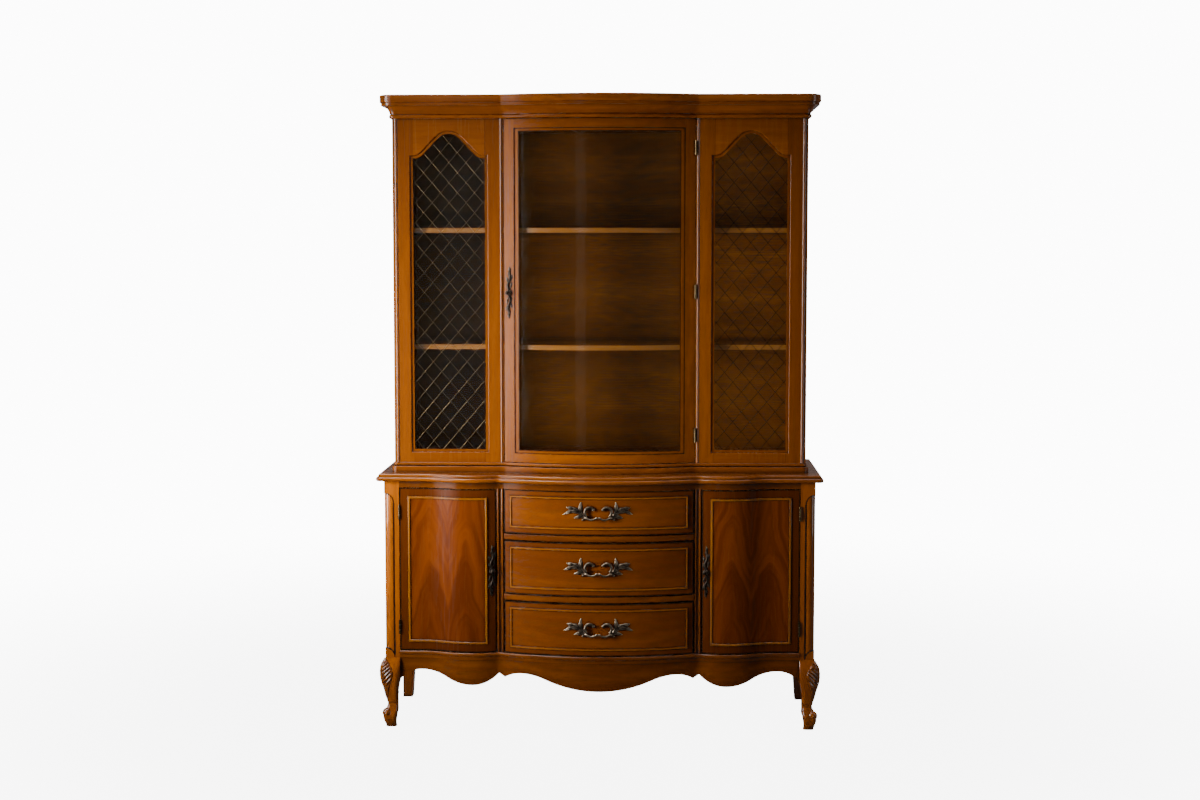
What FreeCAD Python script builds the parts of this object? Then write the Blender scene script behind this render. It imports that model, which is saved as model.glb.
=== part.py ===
import FreeCAD, Part
import Sketcher
import os
import re

# China hutch on a serpentine buffet. Millimetres, X to the right, Y to the back, Z up,
# origin on the floor under the middle of the bounding box.

SIZES = {
    # buffet case
    "top_width": 1370, "case_setback": 23, "case_depth": 425, "top_overhang": 26,
    "nose_height": 13, "nose_round": 6.2, "top_corner": 14, "top_step": 10, "top_step_inset": 8,
    "top_step_round": 6, "post_width": 45.5, "post_edge": 2,
    "corner_width": 29, "corner_depth": 12, "corner_quirk": 2.5, "corner_round": 24,
    "hollow_stop": 39.5, "hollow_drop": 30, "hollow_round": 30,
    "tongue_lift": 8, "tongue_drop": 25, "tongue_round": 29.5,
    "rear_leg_depth": 40, "rear_foot_width": 31, "rear_taper_height": 205,
    "side_thickness": 18, "side_recess": 3, "side_base": 196, "back_thickness": 6, "back_recess": 4,
    "floor_thickness": 18, "moulding_base": 219, "moulding_height": 22, "moulding_bead": 12,
    "moulding_proud": 6, "moulding_band_proud": 1.5, "moulding_round": 4.5, "moulding_depth": 20,
    "opening_height": 508, "top_rail_height": 21, "rail_depth": 44,
    "drawer_rail_height": 22, "drawer_rail_round": 6, "drawer_rail_recess": 1,
    "divider_share": 0.490673, "divider_width": 23, "divider_bead": 4.6, "divider_groove": 4,
    "partition_thickness": 16,
    # serpentine front
    "centre_bow": 76, "centre_fall": 58.6055, "bulge_share": 0.632603, "bulge_depth": 34,
    "bulge_fall": 20.9746, "flank_share": 0.705960, "valley_radius": 45,
    # scalloped apron
    "apron_thickness": 20, "apron_recess": 4, "apron_drop": 95,
    "apron_end_drop": 69, "crest_place_share": 0.892133, "apron_crest_drop": 37.5,
    "apron_lobe_drop": 79.5, "notch_place_share": 0.499594, "apron_notch_drop": 43.5,
    "tip_place_share": 0.469586, "apron_tip_drop": 55.5, "rise_place_share": 0.382806,
    "apron_rise_drop": 40, "apron_centre_drop": 88,
    "apron_centre_share": 0.3, "apron_lobe_share": 0.5,
    # cabriole legs: height, set-out of the section from the post, half its side, as the leg falls
    "knee_height": 158, "knee_out": 7, "knee_half": 29.8,
    "calf_height": 119, "calf_out": 6.5, "calf_half": 22.1,
    "ankle_height": 80, "ankle_out": 3.6, "ankle_half": 17.3,
    "instep_height": 61, "instep_out": 4, "instep_half": 17.5,
    "scroll_height": 40, "scroll_out": 9.7, "scroll_half": 21.3,
    "pad_height": 19, "pad_out": 10.5, "pad_half": 18.5, "sole_out": 7, "sole_half": 16,
    "leg_corner_share": 0.56, "whorl_radius": 15, "whorl_out": 19.5, "whorl_height": 44, "button_radius": 4.5,
    "ear_drop": 109, "ear_curve": 52, "ear_inset": 13.5, "ear_root": 25,
    # buffet doors and drawers
    "door_thickness": 20, "door_gap": 2.2, "hinge_gap": 2.6, "bead_width": 7, "bead_height": 3.5,
    "bead_round": 2,
    "door_bead_inset": 25, "drawer_bead_inset": 16,
    "drawer_gap": 2, "upper_drawer_share": 0.292035, "middle_drawer_share": 0.356195,
    "drawer_front_thickness": 20, "drawer_side_thickness": 12, "drawer_side_inset": 5,
    "drawer_depth": 330, "drawer_base_lift": 8, "drawer_top_drop": 22, "drawer_bottom_thickness": 6,
    "drawer_bottom_lift": 8, "runner_height": 9, "runner_slack": 0.6,
    # hutch case
    "hutch_side_setback": 28, "hutch_setback": 45, "hutch_bow": 55, "cove_radius": 60,
    "base_board_thickness": 18, "base_board_overhang": 9, "base_board_round": 3,
    "hutch_floor_thickness": 12, "hutch_floor_overhang": 3, "hutch_floor_round": 5,
    "hutch_height": 1052, "hutch_side_thickness": 18, "hutch_back_thickness": 8,
    "ceiling_thickness": 18, "ceiling_setback": 27, "hutch_corner": 9,
    "hutch_post_width": 18.4, "hutch_post_depth": 22, "post_bead_radius": 5,
    "post_bead_inset": 7, "post_bead_width": 9.4,
    "mullion_width": 12.8, "mullion_depth": 26, "mullion_bead_radius": 4,
    "mullion_bead_width": 7.4,
    "cornice_bead_height": 13, "cornice_bead_overhang": 9.4, "cornice_bead_round": 6,
    "cornice_cyma_height": 26, "cornice_cyma_low": 6.5, "cornice_cyma_high": 20,
    "cornice_fillet_height": 8, "cornice_fillet_overhang": 33.6,
    "cornice_slab_height": 24, "cornice_slab_overhang": 37.6, "cornice_slab_round": 4,
    "cornice_wall": 24,
    "shelf_thickness": 15, "shelf_setback": 38, "shelf_gap": 1, "shelf_round": 5,
    "lower_shelf_height": 347, "upper_shelf_height": 706,
    "pin_diameter": 6, "pin_reach": 14, "pin_hole": 9, "pin_inset": 60,
    # fixed side lights with arched openings
    "light_stile": 44, "light_bottom_rail": 39.5, "light_top_margin": 45.5, "arch_rise": 74,
    "arch_shoulder": 4, "arch_slope_share": 1.318, "arch_cove_share": 0.45,
    "light_step_width": 8, "light_face_depth": 5, "light_step_depth": 6, "light_back_depth": 11,
    "light_round": 3.5, "light_rebate": 6, "glass_thickness": 3, "glass_slack": 0.3,
    "wire_size": 1.6, "diamond_width": 52, "diamond_height": 61,
    # hutch door
    "hutch_door_share": 0.460568, "hutch_door_face_stile": 31, "hutch_door_step": 15,
    "hutch_door_face_rail": 27,
    "hutch_door_rail_step": 11, "hutch_door_gap": 2, "hutch_door_face_depth": 4,
    "hutch_door_step_depth": 7, "hutch_door_back_depth": 11, "hutch_door_rebate": 7,
    # butt hinges
    "hinge_height": 43, "barrel_radius": 3.2, "barrel_stand": 0.5, "leaf_thickness": 1,
    "leaf_depth": 16, "hinge_pin_radius": 1.5, "hinge_pin_slack": 0.06, "knuckle_gap": 0.3,
    "buffet_hinge_low": 50, "buffet_hinge_high": 53, "hutch_hinge_low": 62, "hutch_hinge_high": 65,
    # bail pulls on the drawers
    "pull_half": 106, "pull_up_share": 0.257576, "pull_plate": 4, "leaf_lift": 1.2, "leaf_lean": 4.9,
    "pull_post_x": 38, "pull_post_radius": 4.5, "pull_post_drop": 17.5, "pull_reach": 18,
    "pull_grip_radius": 4, "pull_ball_radius": 6, "pull_grip_sweep": 30, "pull_foot_radius": 9,
    "pull_foot_height": 3, "pull_share_in_drawer": 0.54,
    "scroll_middle_x": 25.5, "scroll_middle_up": 1.5, "scroll_bend": 16, "scroll_wire": 3.4,
    "scroll_start": 36, "scroll_sweep": 196, "scroll_curl": 4.6,
    # upright pulls on the doors
    "door_pull_half": 81, "door_pull_width": 11, "door_pull_plate": 4, "door_pull_lobe": 28,
    "door_pull_inset": 12.5, "door_pull_height": 252, "hutch_pull_height": 521,
    "hutch_pull_inset": 16, "stem_radius": 4, "stem_length": 11, "knob_radius": 7,
}

# Values that follow from the sizes: planes, and the centres of the tangent arcs of the front.
PLAN = {
    "back_y": "(case_depth + centre_bow + top_overhang) / 2",
    "post_y": "back_y - case_depth",
    "hutch_y": "post_y + hutch_setback",
    "case_half": "top_width / 2 - case_setback",
    "post_inside": "case_half - post_width",
    "hutch_half": "case_half - hutch_side_setback",
    "divider_middle": "post_inside * divider_share",
    "bulge_middle": "post_inside * bulge_share",
    "flank_x": "bulge_middle + (post_inside - bulge_middle) * flank_share",
    "centre_radius": "(divider_middle ^ 2 + centre_fall ^ 2) / (2 * centre_fall)",
    "bulge_radius": "((bulge_middle - divider_middle) ^ 2 + bulge_fall ^ 2) / (2 * bulge_fall)",
    "flank_radius": "((flank_x - bulge_middle) ^ 2 + bulge_depth ^ 2) / (2 * bulge_depth)"
                    " - bulge_radius",
    "apron_crest_x": "post_inside * crest_place_share",
    "apron_lobe_x": "bulge_middle",
    "apron_notch_x": "post_inside * notch_place_share",
    "apron_tip_x": "post_inside * tip_place_share",
    "apron_rise_x": "post_inside * rise_place_share",
    "opening_base": "moulding_base + moulding_height",
    "opening_top": "opening_base + opening_height",
    "top_base": "opening_top + top_rail_height",
    "top_face": "top_base + nose_height + top_step",
    "hutch_floor_base": "top_face + base_board_thickness",
    "hutch_base": "hutch_floor_base + hutch_floor_thickness",
    "hutch_top": "hutch_base + hutch_height",
    "bulge_core": "bulge_depth - bulge_radius",
    "centre_core": "centre_bow - centre_radius",
    "core_span": "sqrt(bulge_middle ^ 2 + (bulge_core - centre_core) ^ 2)",
    "core_along": "((centre_radius + valley_radius) ^ 2 - (bulge_radius + valley_radius) ^ 2"
                  " + core_span ^ 2) / (2 * core_span)",
    "core_aside": "sqrt((centre_radius + valley_radius) ^ 2 - core_along ^ 2)",
    "valley_x": "(core_along * bulge_middle - core_aside * (bulge_core - centre_core)) / core_span",
    "valley_out": "centre_core + (core_along * (bulge_core - centre_core)"
                  " + core_aside * bulge_middle) / core_span",
    "hutch_core": "hutch_bow - centre_radius",
    "cove_x": "sqrt((centre_radius + cove_radius) ^ 2 - (cove_radius - hutch_core) ^ 2)",
    "divider_inside": "divider_middle - divider_width / 2",
    "divider_outside": "divider_middle + divider_width / 2",
    "door_outside": "post_inside - hinge_gap",
    "door_inside": "divider_outside + door_gap",
    "door_base": "opening_base + door_gap",
    "door_height": "opening_height - 2 * door_gap",
    "drawer_half": "divider_inside - drawer_gap",
    "drawer_stack": "opening_height - 6 * drawer_gap - 2 * drawer_rail_height",
    "upper_drawer_height": "drawer_stack * upper_drawer_share",
    "middle_drawer_height": "drawer_stack * middle_drawer_share",
    "pull_up": "upper_drawer_height * pull_up_share",
    "middle_drawer_base": "opening_top - 3 * drawer_gap - drawer_rail_height - upper_drawer_height"
                          " - middle_drawer_height",
    "upper_drawer_base": "opening_top - drawer_gap - upper_drawer_height",
    "lower_drawer_base": "opening_base + drawer_gap",
    "lower_drawer_height": "middle_drawer_base - 2 * drawer_gap - drawer_rail_height"
                           " - lower_drawer_base",
    "light_outside": "hutch_half - hutch_post_width",
    "light_inside": "hutch_door_half + hinge_gap + mullion_width",
    "light_middle": "(light_outside + light_inside) / 2",
    "light_half": "(light_outside - light_inside) / 2 - light_stile",
    "light_shoulder": "hutch_top - light_top_margin - arch_rise",
    "light_sill": "hutch_base + light_bottom_rail",
    "arch_half": "light_half - arch_shoulder",
    "arch_slope": "arch_slope_share * atan(arch_rise / arch_half) / 1 deg",
    "arch_sum": "(arch_half - arch_rise / tan(arch_slope)) / tan(arch_slope / 2)",
    "arch_cove": "arch_cove_share * arch_sum",
    "arch_crown": "arch_sum - arch_cove",
    "light_rebate_y": "hutch_y + light_face_depth + light_step_depth",
    "hutch_door_half": "hutch_half * hutch_door_share",
    "hutch_door_base": "hutch_base + hutch_door_gap",
    "hutch_door_height": "hutch_height - 2 * hutch_door_gap",
    "hutch_door_depth": "hutch_door_face_depth + hutch_door_step_depth + hutch_door_back_depth",
    "hutch_door_light": "hutch_door_half - hutch_door_face_stile - hutch_door_step",
}

# Outlines of the cast pulls, as shares of their half width and height. A leaf has a root, a tip and a
# width, the last as a share of its length.
LEAF_ROOT_SHARES = (0.39, -0.46)
LEAF_SHARES = [((0.92, 0.42), 0.24), ((1.0, -0.24), 0.2), ((0.71, -0.62), 0.34), ((0.5, 0.93), 0.3)]
LEAN_SHARE = 0.3
# Height and overhang of the sections of the cornice's cyma, as shares of its height and its spread.
CYMA_SHARES = [(0, 0), (0.3, 0.2), (0.7, 0.62), (1, 1)]
HALF_STEP_SHARE = 0.5
PLATE_SHARES = [(0.30, 0.22), (1.0, 0.36), (0.55, 0.62), (0.70, 0.80), (0.22, 1.0)]

doc = FreeCAD.newDocument("hutch")
sheet = doc.addObject("Spreadsheet::Sheet", "Sizes")
for row, (name, number) in enumerate(SIZES.items(), start=1):
    sheet.set("A%d" % row, name)
    sheet.set("B%d" % row, str(number))
    sheet.setAlias("B%d" % row, name)
doc.recompute()


def formula(text):
    """Names of sizes in a formula become references to the sheet or to the derived values."""
    def refer(match):
        word = match.group(0)
        if word in SIZES:
            return "Sizes." + word
        if word in PLAN:
            return "Plan." + word
        return word
    return re.sub(r"[a-z][a-z_]*", refer, text)


plan = doc.addObject("App::VarSet", "Plan")
for name in PLAN:
    plan.addProperty("App::PropertyFloat", name)
for name, text in PLAN.items():
    plan.setExpression(name, formula(text))
doc.recompute()


def value(text):
    """Present value of a formula."""
    result = sheet.evalExpression(formula(text))
    return float(getattr(result, "Value", result))


nodes = {}


def node(label, thing):
    """Keeps an object as a named sub-part of the assembly."""
    nodes[label] = thing
    thing.Label = label
    return thing


def new_body(name):
    return doc.addObject("PartDesign::Body", name + "_body")


def draw(body, plane, loops, offset):
    """Sketch of closed loops on an origin plane. A corner is (x, y) or, where an arc goes on to the
    next corner, (x, y, radius, side): side out swells away from the loop's inside, in towards it."""
    sketch = body.newObject("Sketcher::SketchObject", body.Name + "_sketch")
    support = [item for item in body.Origin.OriginFeatures if item.Role == plane][0]
    sketch.AttachmentSupport = [(support, "")]
    sketch.MapMode = "FlatFace"
    sketch.setExpression("AttachmentOffset.Base.z", formula(offset))
    first = 0
    for corners in loops:
        count = len(corners)
        spots = [FreeCAD.Vector(value(c[0]), value(c[1]), 0) for c in corners]
        ends = []
        for index, corner in enumerate(corners):
            start, stop = spots[index], spots[(index + 1) % count]
            if len(corner) == 2:
                sketch.addGeometry(Part.LineSegment(start, stop), False)
                ends.append((1, 2))
                continue
            chord = stop - start
            right = FreeCAD.Vector(chord.y, -chord.x, 0).normalize()
            if corner[3] == "in":
                right = -right
            radius = value(corner[2])
            rise = radius - (radius ** 2 - (chord.Length / 2) ** 2) ** 0.5
            sketch.addGeometry(Part.Arc(start, (start + stop) / 2 + right * rise, stop), False)
            near = sketch.getPoint(first + index, 1)
            ends.append((1, 2) if (near - start).Length < (near - stop).Length else (2, 1))
        for index, corner in enumerate(corners):
            here = first + index
            after = first + (index + 1) % count
            sketch.addConstraint(Sketcher.Constraint(
                "Coincident", here, ends[index][1], after, ends[(index + 1) % count][0]))
            for kind, axis, text in (("DistanceX", -2, corner[0]), ("DistanceY", -1, corner[1])):
                if text == "0":
                    sketch.addConstraint(Sketcher.Constraint(
                        "PointOnObject", here, ends[index][0], axis))
                    continue
                held = sketch.addConstraint(Sketcher.Constraint(
                    kind, -1, 1, here, ends[index][0], value(text)))
                sketch.setExpression("Constraints[%d]" % held, formula(text))
            if len(corner) == 4:
                held = sketch.addConstraint(Sketcher.Constraint("Radius", here, value(corner[2])))
                sketch.setExpression("Constraints[%d]" % held, formula(corner[2]))
        first += count
    return sketch


def layer(body, plane, loops, offset, length):
    """Adds one padded outline to a body: plan outlines rise, upright ones run to the back."""
    if plane == "XZ_Plane":
        offset = "-(%s)" % offset
    profile = draw(body, plane, loops, offset)
    pad = body.newObject("PartDesign::Pad", body.Name + "_pad")
    pad.Profile = profile
    pad.Reversed = plane == "XZ_Plane"
    pad.setExpression("Length", formula(length))
    doc.recompute()
    return body


def cut(body, plane, loops, offset, length):
    """Takes a padded outline away from a body, from the offset plane upwards or to the back."""
    if plane == "XZ_Plane":
        offset = "-(%s)" % offset
    profile = draw(body, plane, loops, offset)
    pocket = body.newObject("PartDesign::Pocket", body.Name + "_pocket")
    pocket.Profile = profile
    pocket.Reversed = plane != "XZ_Plane"
    pocket.setExpression("Length", formula(length))
    doc.recompute()
    return body


def rounded(body, radius, chosen):
    """Rounds the edges of a body that a test picks."""
    doc.recompute()
    solid = body.Tip
    names = ["Edge%d" % (i + 1) for i, edge in enumerate(solid.Shape.Edges) if chosen(edge)]
    fillet = body.newObject("PartDesign::Fillet", body.Name + "_fillet")
    fillet.Base = (solid, names)
    fillet.setExpression("Radius", formula(radius))
    doc.recompute()
    return body


def board(name, x, y, z, length, width, height):
    """Plain board: its low corner, then its size along X, Y and Z."""
    box = doc.addObject("Part::Box", name)
    for spot, text in (("x", x), ("y", y), ("z", z)):
        box.setExpression("Placement.Base." + spot, formula(text))
    for side, text in (("Length", length), ("Width", width), ("Height", height)):
        box.setExpression(side, formula(text))
    return box


def rod(name, x, y, z, radius, height):
    """Upright round rod from its bottom centre."""
    item = doc.addObject("Part::Cylinder", name)
    for spot, text in (("x", x), ("y", y), ("z", z)):
        item.setExpression("Placement.Base." + spot, formula(text))
    item.setExpression("Radius", formula(radius))
    item.setExpression("Height", formula(height))
    return item


def turned(item, rotation):
    """Turns a primitive about its own base point."""
    place = item.Placement
    place.Rotation = rotation
    item.Placement = place
    return item


def joined(name, parts):
    whole = doc.addObject("Part::MultiFuse", name)
    whole.Shapes = parts
    return whole


def grouped(name, parts):
    """Separate solids kept in one node."""
    group = doc.addObject("Part::Compound", name)
    group.Links = parts
    return group


def mirrored(name, source):
    """The same piece for the right-hand side."""
    twin = doc.addObject("Part::Mirroring", name)
    twin.Source = source
    twin.Normal = FreeCAD.Vector(1, 0, 0)
    return twin


def both_sides(name, source):
    node(name + "_left", source)
    node(name + "_right", mirrored(name + "_twin", source))


def pair(name, source):
    """Left and right piece as two solids of one node."""
    node(name, grouped(name + "_pair", [source, mirrored(name + "_twin", source)]))


def place(item, x, y, z, angle):
    """Sets a piece made round its own origin, turned about the upright axis."""
    for spot, text in (("Base.x", x), ("Base.y", y), ("Base.z", z), ("Rotation.Angle", angle)):
        item.setExpression("Placement." + spot, formula(text))
    return item


def minus(text):
    return "-(%s)" % text


def rectangle(x_low, x_high, y_low, y_high):
    return [(x_low, y_low), (x_high, y_low), (x_high, y_high), (x_low, y_high)]


# Curves of the serpentine front. An offset moves the whole front outwards by the same distance.

def on_centre(x, out, plane="post_y", bow="centre_core"):
    """Y of the middle bow at x."""
    return "%s - %s - sqrt((centre_radius + (%s)) ^ 2 - (%s) ^ 2)" % (plane, bow, out, x)


def on_bulge(x, out):
    """Y of the bulge before a door at x."""
    return "post_y - bulge_core - sqrt((bulge_radius + (%s)) ^ 2 - (%s - bulge_middle) ^ 2)" % (out, x)


def flank_end(out):
    """Point where the hollow beside the post runs into the bulge."""
    share = "(flank_radius - (%s)) / (flank_radius + bulge_radius)" % out
    x = "flank_x - (flank_x - bulge_middle) * %s" % share
    y = "post_y - flank_radius - (bulge_core - flank_radius) * %s" % share
    return x, y


def valley_end(out, core_x, core, radius):
    """Point where the valley before a divider runs into the arc round a core."""
    share = "(%s + (%s)) / (%s + valley_radius)" % (radius, out, radius)
    x = "%s + (valley_x - %s) * %s" % (core_x, core_x, share)
    y = "post_y - %s - (valley_out - %s) * %s" % (core, core, share)
    return x, y


def serpentine(end, out, corner=None):
    """Front of the buffet from left to right, between ends at -end and +end, their corners square
    or rounded."""
    flank_x, flank_y = flank_end(out)
    bulge_x, bulge_y = valley_end(out, "bulge_middle", "bulge_core", "bulge_radius")
    centre_x, centre_y = valley_end(out, "0 * bulge_middle", "centre_core", "centre_radius")
    level = "post_y - (%s)" % out
    flank = ("flank_radius - (%s)" % out, "in")
    bulge = ("bulge_radius + (%s)" % out, "out")
    valley = ("valley_radius - (%s)" % out, "in")
    centre = ("centre_radius + (%s)" % out, "out")
    left = [(minus(end), level)]
    right = [(end, level)]
    if corner:
        set_in = "%s + (%s)" % (level, corner)
        left = [(minus(end), set_in, corner, "out"), ("-(%s) + (%s)" % (end, corner), level)]
        right = [("%s - (%s)" % (end, corner), level, corner, "out"), (end, set_in)]
    curve = [("-flank_x", level) + flank, (minus(flank_x), flank_y) + bulge,
             (minus(bulge_x), bulge_y) + valley, (minus(centre_x), centre_y) + centre,
             (centre_x, centre_y) + valley, (bulge_x, bulge_y) + bulge, (flank_x, flank_y) + flank,
             ("flank_x", level)]
    return left + curve + right


def returned(front):
    """The same curve run back from right to left."""
    swap = {"in": "out", "out": "in"}
    path = [front[-1][:2]]
    for corner in reversed(front[:-1]):
        if len(corner) == 4:
            path[-1] = path[-1] + (corner[2], swap[corner[3]])
        path.append(corner[:2])
    return path


def backed(front, end, back):
    """Closes a front curve with straight sides and a straight back."""
    return front + [(end, back), (minus(end), back)]


def hutch_front(half, out, corner):
    """Front of the hutch from left to right: flat lights, bowed middle, rounded corners."""
    level = "hutch_y - (%s)" % out
    share = "(centre_radius + (%s)) / (centre_radius + cove_radius)" % out
    bow_x = "cove_x * %s" % share
    bow_y = "hutch_y - hutch_core - (cove_radius - hutch_core) * %s" % share
    cove = ("cove_radius - (%s)" % out, "in")
    bow = ("centre_radius + (%s)" % out, "out")
    turn = (corner, "out")
    return [(minus(half), "%s + (%s)" % (level, corner)) + turn,
            ("-(%s) + (%s)" % (half, corner), level), ("-cove_x", level) + cove,
            (minus(bow_x), bow_y) + bow, (bow_x, bow_y) + cove, ("cove_x", level),
            ("%s - (%s)" % (half, corner), level) + turn, (half, "%s + (%s)" % (level, corner))]


def hutch_slab(out, corner):
    half = "hutch_half + (%s)" % out
    return backed(hutch_front(half, out, corner), half, "back_y")


def bow_band(half, front, back, plane="post_y", core="centre_core"):
    """Bowed strip of the middle between two offsets, with upright ends at -half and +half."""
    return [(minus(half), on_centre(half, front, plane, core), "centre_radius + (%s)" % front, "out"),
            (half, on_centre(half, front, plane, core)),
            (half, on_centre(half, back, plane, core), "centre_radius + (%s)" % back, "in"),
            (minus(half), on_centre(half, back, plane, core))]


def door_curve(outside, inside, out):
    """Front of the left door from its hinge side to its free side."""
    flank_x, flank_y = flank_end(out)
    level = "post_y - (%s)" % out
    return [(minus(outside), level), ("-flank_x", level, "flank_radius - (%s)" % out, "in"),
            (minus(flank_x), flank_y, "bulge_radius + (%s)" % out, "out"),
            (minus(inside), on_bulge(inside, out))]


def level_edge(back):
    """Test for the level edges of an outline, apart from the one along its back."""
    def chosen(edge):
        box = edge.BoundBox
        return box.ZLength < FINE and box.YMin < value(back) - FINE
    return chosen


def front_edge(back):
    """Test for the level edges along the front only."""
    def chosen(edge):
        return level_edge(back)(edge) and edge.BoundBox.XLength > FINE
    return chosen


FINE = 0.001
AXIS_X = FreeCAD.Vector(1, 0, 0)
AXIS_Y = FreeCAD.Vector(0, 1, 0)
AXIS_Z = FreeCAD.Vector(0, 0, 1)

# Buffet top: a rounded nose under a stepped and rounded upper edge.
top = new_body("buffet_top")
layer(top, "XY_Plane", [backed(serpentine("top_width / 2", "top_overhang", "top_corner"),
                               "top_width / 2", "back_y")], "top_base", "nose_height")
rounded(top, "nose_round", level_edge("back_y"))
layer(top, "XY_Plane", [backed(serpentine("top_width / 2 - top_step_inset",
                                          "top_overhang - top_step_inset"),
                               "top_width / 2 - top_step_inset", "back_y")],
      "top_base + nose_height", "top_step")
rounded(top, "top_step_round",
        lambda edge: level_edge("back_y")(edge) and edge.BoundBox.ZMin > value("top_face") - FINE)
node("buffet_top", top)


# Front corner posts: each runs down into its cabriole leg in one piece.
def leg_section(body, height, out, half, corner):
    """Rounded square section of the left leg, set out along the diagonal of the corner."""
    x = "-case_half + post_width / 2 - (%s)" % out
    y = "post_y + post_width / 2 - (%s)" % out
    near = "(%s) - (%s)" % (half, corner)
    turn = (corner, "out")
    corners = [("%s - (%s)" % (x, near), "%s - (%s)" % (y, half)),
               ("%s + (%s)" % (x, near), "%s - (%s)" % (y, half)) + turn,
               ("%s + (%s)" % (x, half), "%s - (%s)" % (y, near)),
               ("%s + (%s)" % (x, half), "%s + (%s)" % (y, near)) + turn,
               ("%s + (%s)" % (x, near), "%s + (%s)" % (y, half)),
               ("%s - (%s)" % (x, near), "%s + (%s)" % (y, half)) + turn,
               ("%s - (%s)" % (x, half), "%s + (%s)" % (y, near)),
               ("%s - (%s)" % (x, half), "%s - (%s)" % (y, near)) + turn]
    return draw(body, "XY_Plane", [corners], height)


post = new_body("corner_post")
layer(post, "XY_Plane", [rectangle("-case_half", "-post_inside", "post_y", "post_y + post_width")],
      "moulding_base", "top_base - moulding_base")
sections = [leg_section(post, "moulding_base", "0", "post_width / 2", "post_edge")]
stages = ("knee", "calf", "ankle", "instep", "scroll", "pad")
for stage in stages:
    sections.append(leg_section(post, stage + "_height", stage + "_out", stage + "_half",
                                stage + "_half * leg_corner_share"))
sections.append(leg_section(post, "0", "sole_out", "sole_half", "sole_half * leg_corner_share"))
ankle = stages.index("ankle") + 1
for first, last in ((0, ankle), (ankle, len(sections) - 1)):
    leg = post.newObject("PartDesign::AdditiveLoft", "leg_loft")
    leg.Profile = sections[first]
    leg.Sections = sections[first + 1:last + 1]
    doc.recompute()
# The knee is sawn flush where the apron and the side butt against it.
inner, rear_face = "-post_inside", "post_y + post_width"
past, beyond = "-post_inside + post_width", "post_y + 2 * post_width"
cut(post, "XY_Plane", [[(inner, "post_y - post_width"), (past, "post_y - post_width"), (past, beyond),
                        ("-case_half - post_width", beyond), ("-case_half - post_width", rear_face),
                        (inner, rear_face)]], "moulding_base - apron_drop", "apron_drop")
# An ear on the inner side of the leg carries its curve into the apron.
layer(post, "XZ_Plane", [[
    ("-post_inside - ear_inset", "moulding_base - ear_drop", "ear_curve", "in"),
    ("-post_inside", "moulding_base - apron_end_drop"), ("-post_inside", "moulding_base"),
    ("-post_inside - ear_root", "moulding_base")]], "post_y + apron_recess", "apron_thickness")

# Whorl on the toe, with a button in its middle.
toe = "post_width / 2 - whorl_out"
whorl = doc.addObject("Part::Sphere", "whorl")
whorl.setExpression("Radius", formula("whorl_radius"))
place(whorl, "-case_half + " + toe, "post_y + " + toe, "whorl_height", "0")
button = doc.addObject("Part::Sphere", "whorl_button")
button.setExpression("Radius", formula("button_radius"))
place(button, "-case_half + " + toe, "post_y + %s - whorl_radius" % toe, "whorl_height", "0")

# Round with a quirk up the outer corner of the post, stopped by a hollow at the top and a tongue at the foot.
quirk_x, clear_x = "-case_half + corner_width", "-case_half - corner_width"
round_low, round_top = "opening_base + tongue_lift", "top_base - hollow_stop"
outline = new_body("corner_outline")
layer(outline, "XZ_Plane", [[
    (clear_x, round_low), ("-case_half", round_low, "tongue_round", "in"),
    (quirk_x, round_low + " - tongue_drop"), (quirk_x, round_top + " - hollow_drop", "hollow_round", "out"),
    ("-case_half", round_top), (clear_x, round_top)]], "post_y - corner_width", "2 * corner_width")
profile = new_body("corner_profile")
layer(profile, "XY_Plane", [[
    (clear_x, "post_y - corner_width"), (quirk_x, "post_y - corner_width"),
    (quirk_x, "post_y + corner_quirk", "corner_round", "in"), ("-case_half", "post_y + corner_depth"),
    (clear_x, "post_y + corner_depth")]],
    "opening_base - corner_width", "top_base - opening_base")
chisel = doc.addObject("Part::MultiCommon", "corner_tool")
chisel.Shapes = [outline, profile]
rounded_post = doc.addObject("Part::Cut", "corner_post_cut")
rounded_post.Base = joined("corner_post_blank", [post, whorl, button])
rounded_post.Tool = chisel
both_sides("corner_post", rounded_post)

# Rear legs, sides, back, floor and partitions of the buffet.
rear = new_body("rear_leg")
layer(rear, "XZ_Plane", [[("-case_half", "0"), ("-case_half + rear_foot_width", "0"),
                          ("-post_inside", "rear_taper_height"), ("-post_inside", "top_base"),
                          ("-case_half", "top_base")]], "back_y - rear_leg_depth", "rear_leg_depth")
both_sides("rear_leg", rear)
both_sides("buffet_side", board("buffet_side", "-case_half + side_recess", "post_y + post_width",
                                "side_base", "side_thickness",
                                "case_depth - post_width - rear_leg_depth", "top_base - side_base"))
inner_back = "back_y - back_recess - back_thickness"
node("buffet_back", board("buffet_back", "-post_inside", inner_back, "opening_base - floor_thickness",
                          "2 * post_inside", "back_thickness",
                          "top_base - opening_base + floor_thickness"))
floor = new_body("buffet_floor")
floor_wide = "case_half - side_recess - side_thickness"
layer(floor, "XY_Plane", [[
    ("-post_inside", "post_y + moulding_depth"), ("post_inside", "post_y + moulding_depth"),
    ("post_inside", "post_y + post_width"), (floor_wide, "post_y + post_width"),
    (floor_wide, "back_y - rear_leg_depth"), ("post_inside", "back_y - rear_leg_depth"),
    ("post_inside", inner_back), ("-post_inside", inner_back),
    ("-post_inside", "back_y - rear_leg_depth"), (minus(floor_wide), "back_y - rear_leg_depth"),
    (minus(floor_wide), "post_y + post_width"), ("-post_inside", "post_y + post_width")]],
    "opening_base - floor_thickness", "floor_thickness")
node("buffet_floor", floor)
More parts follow.
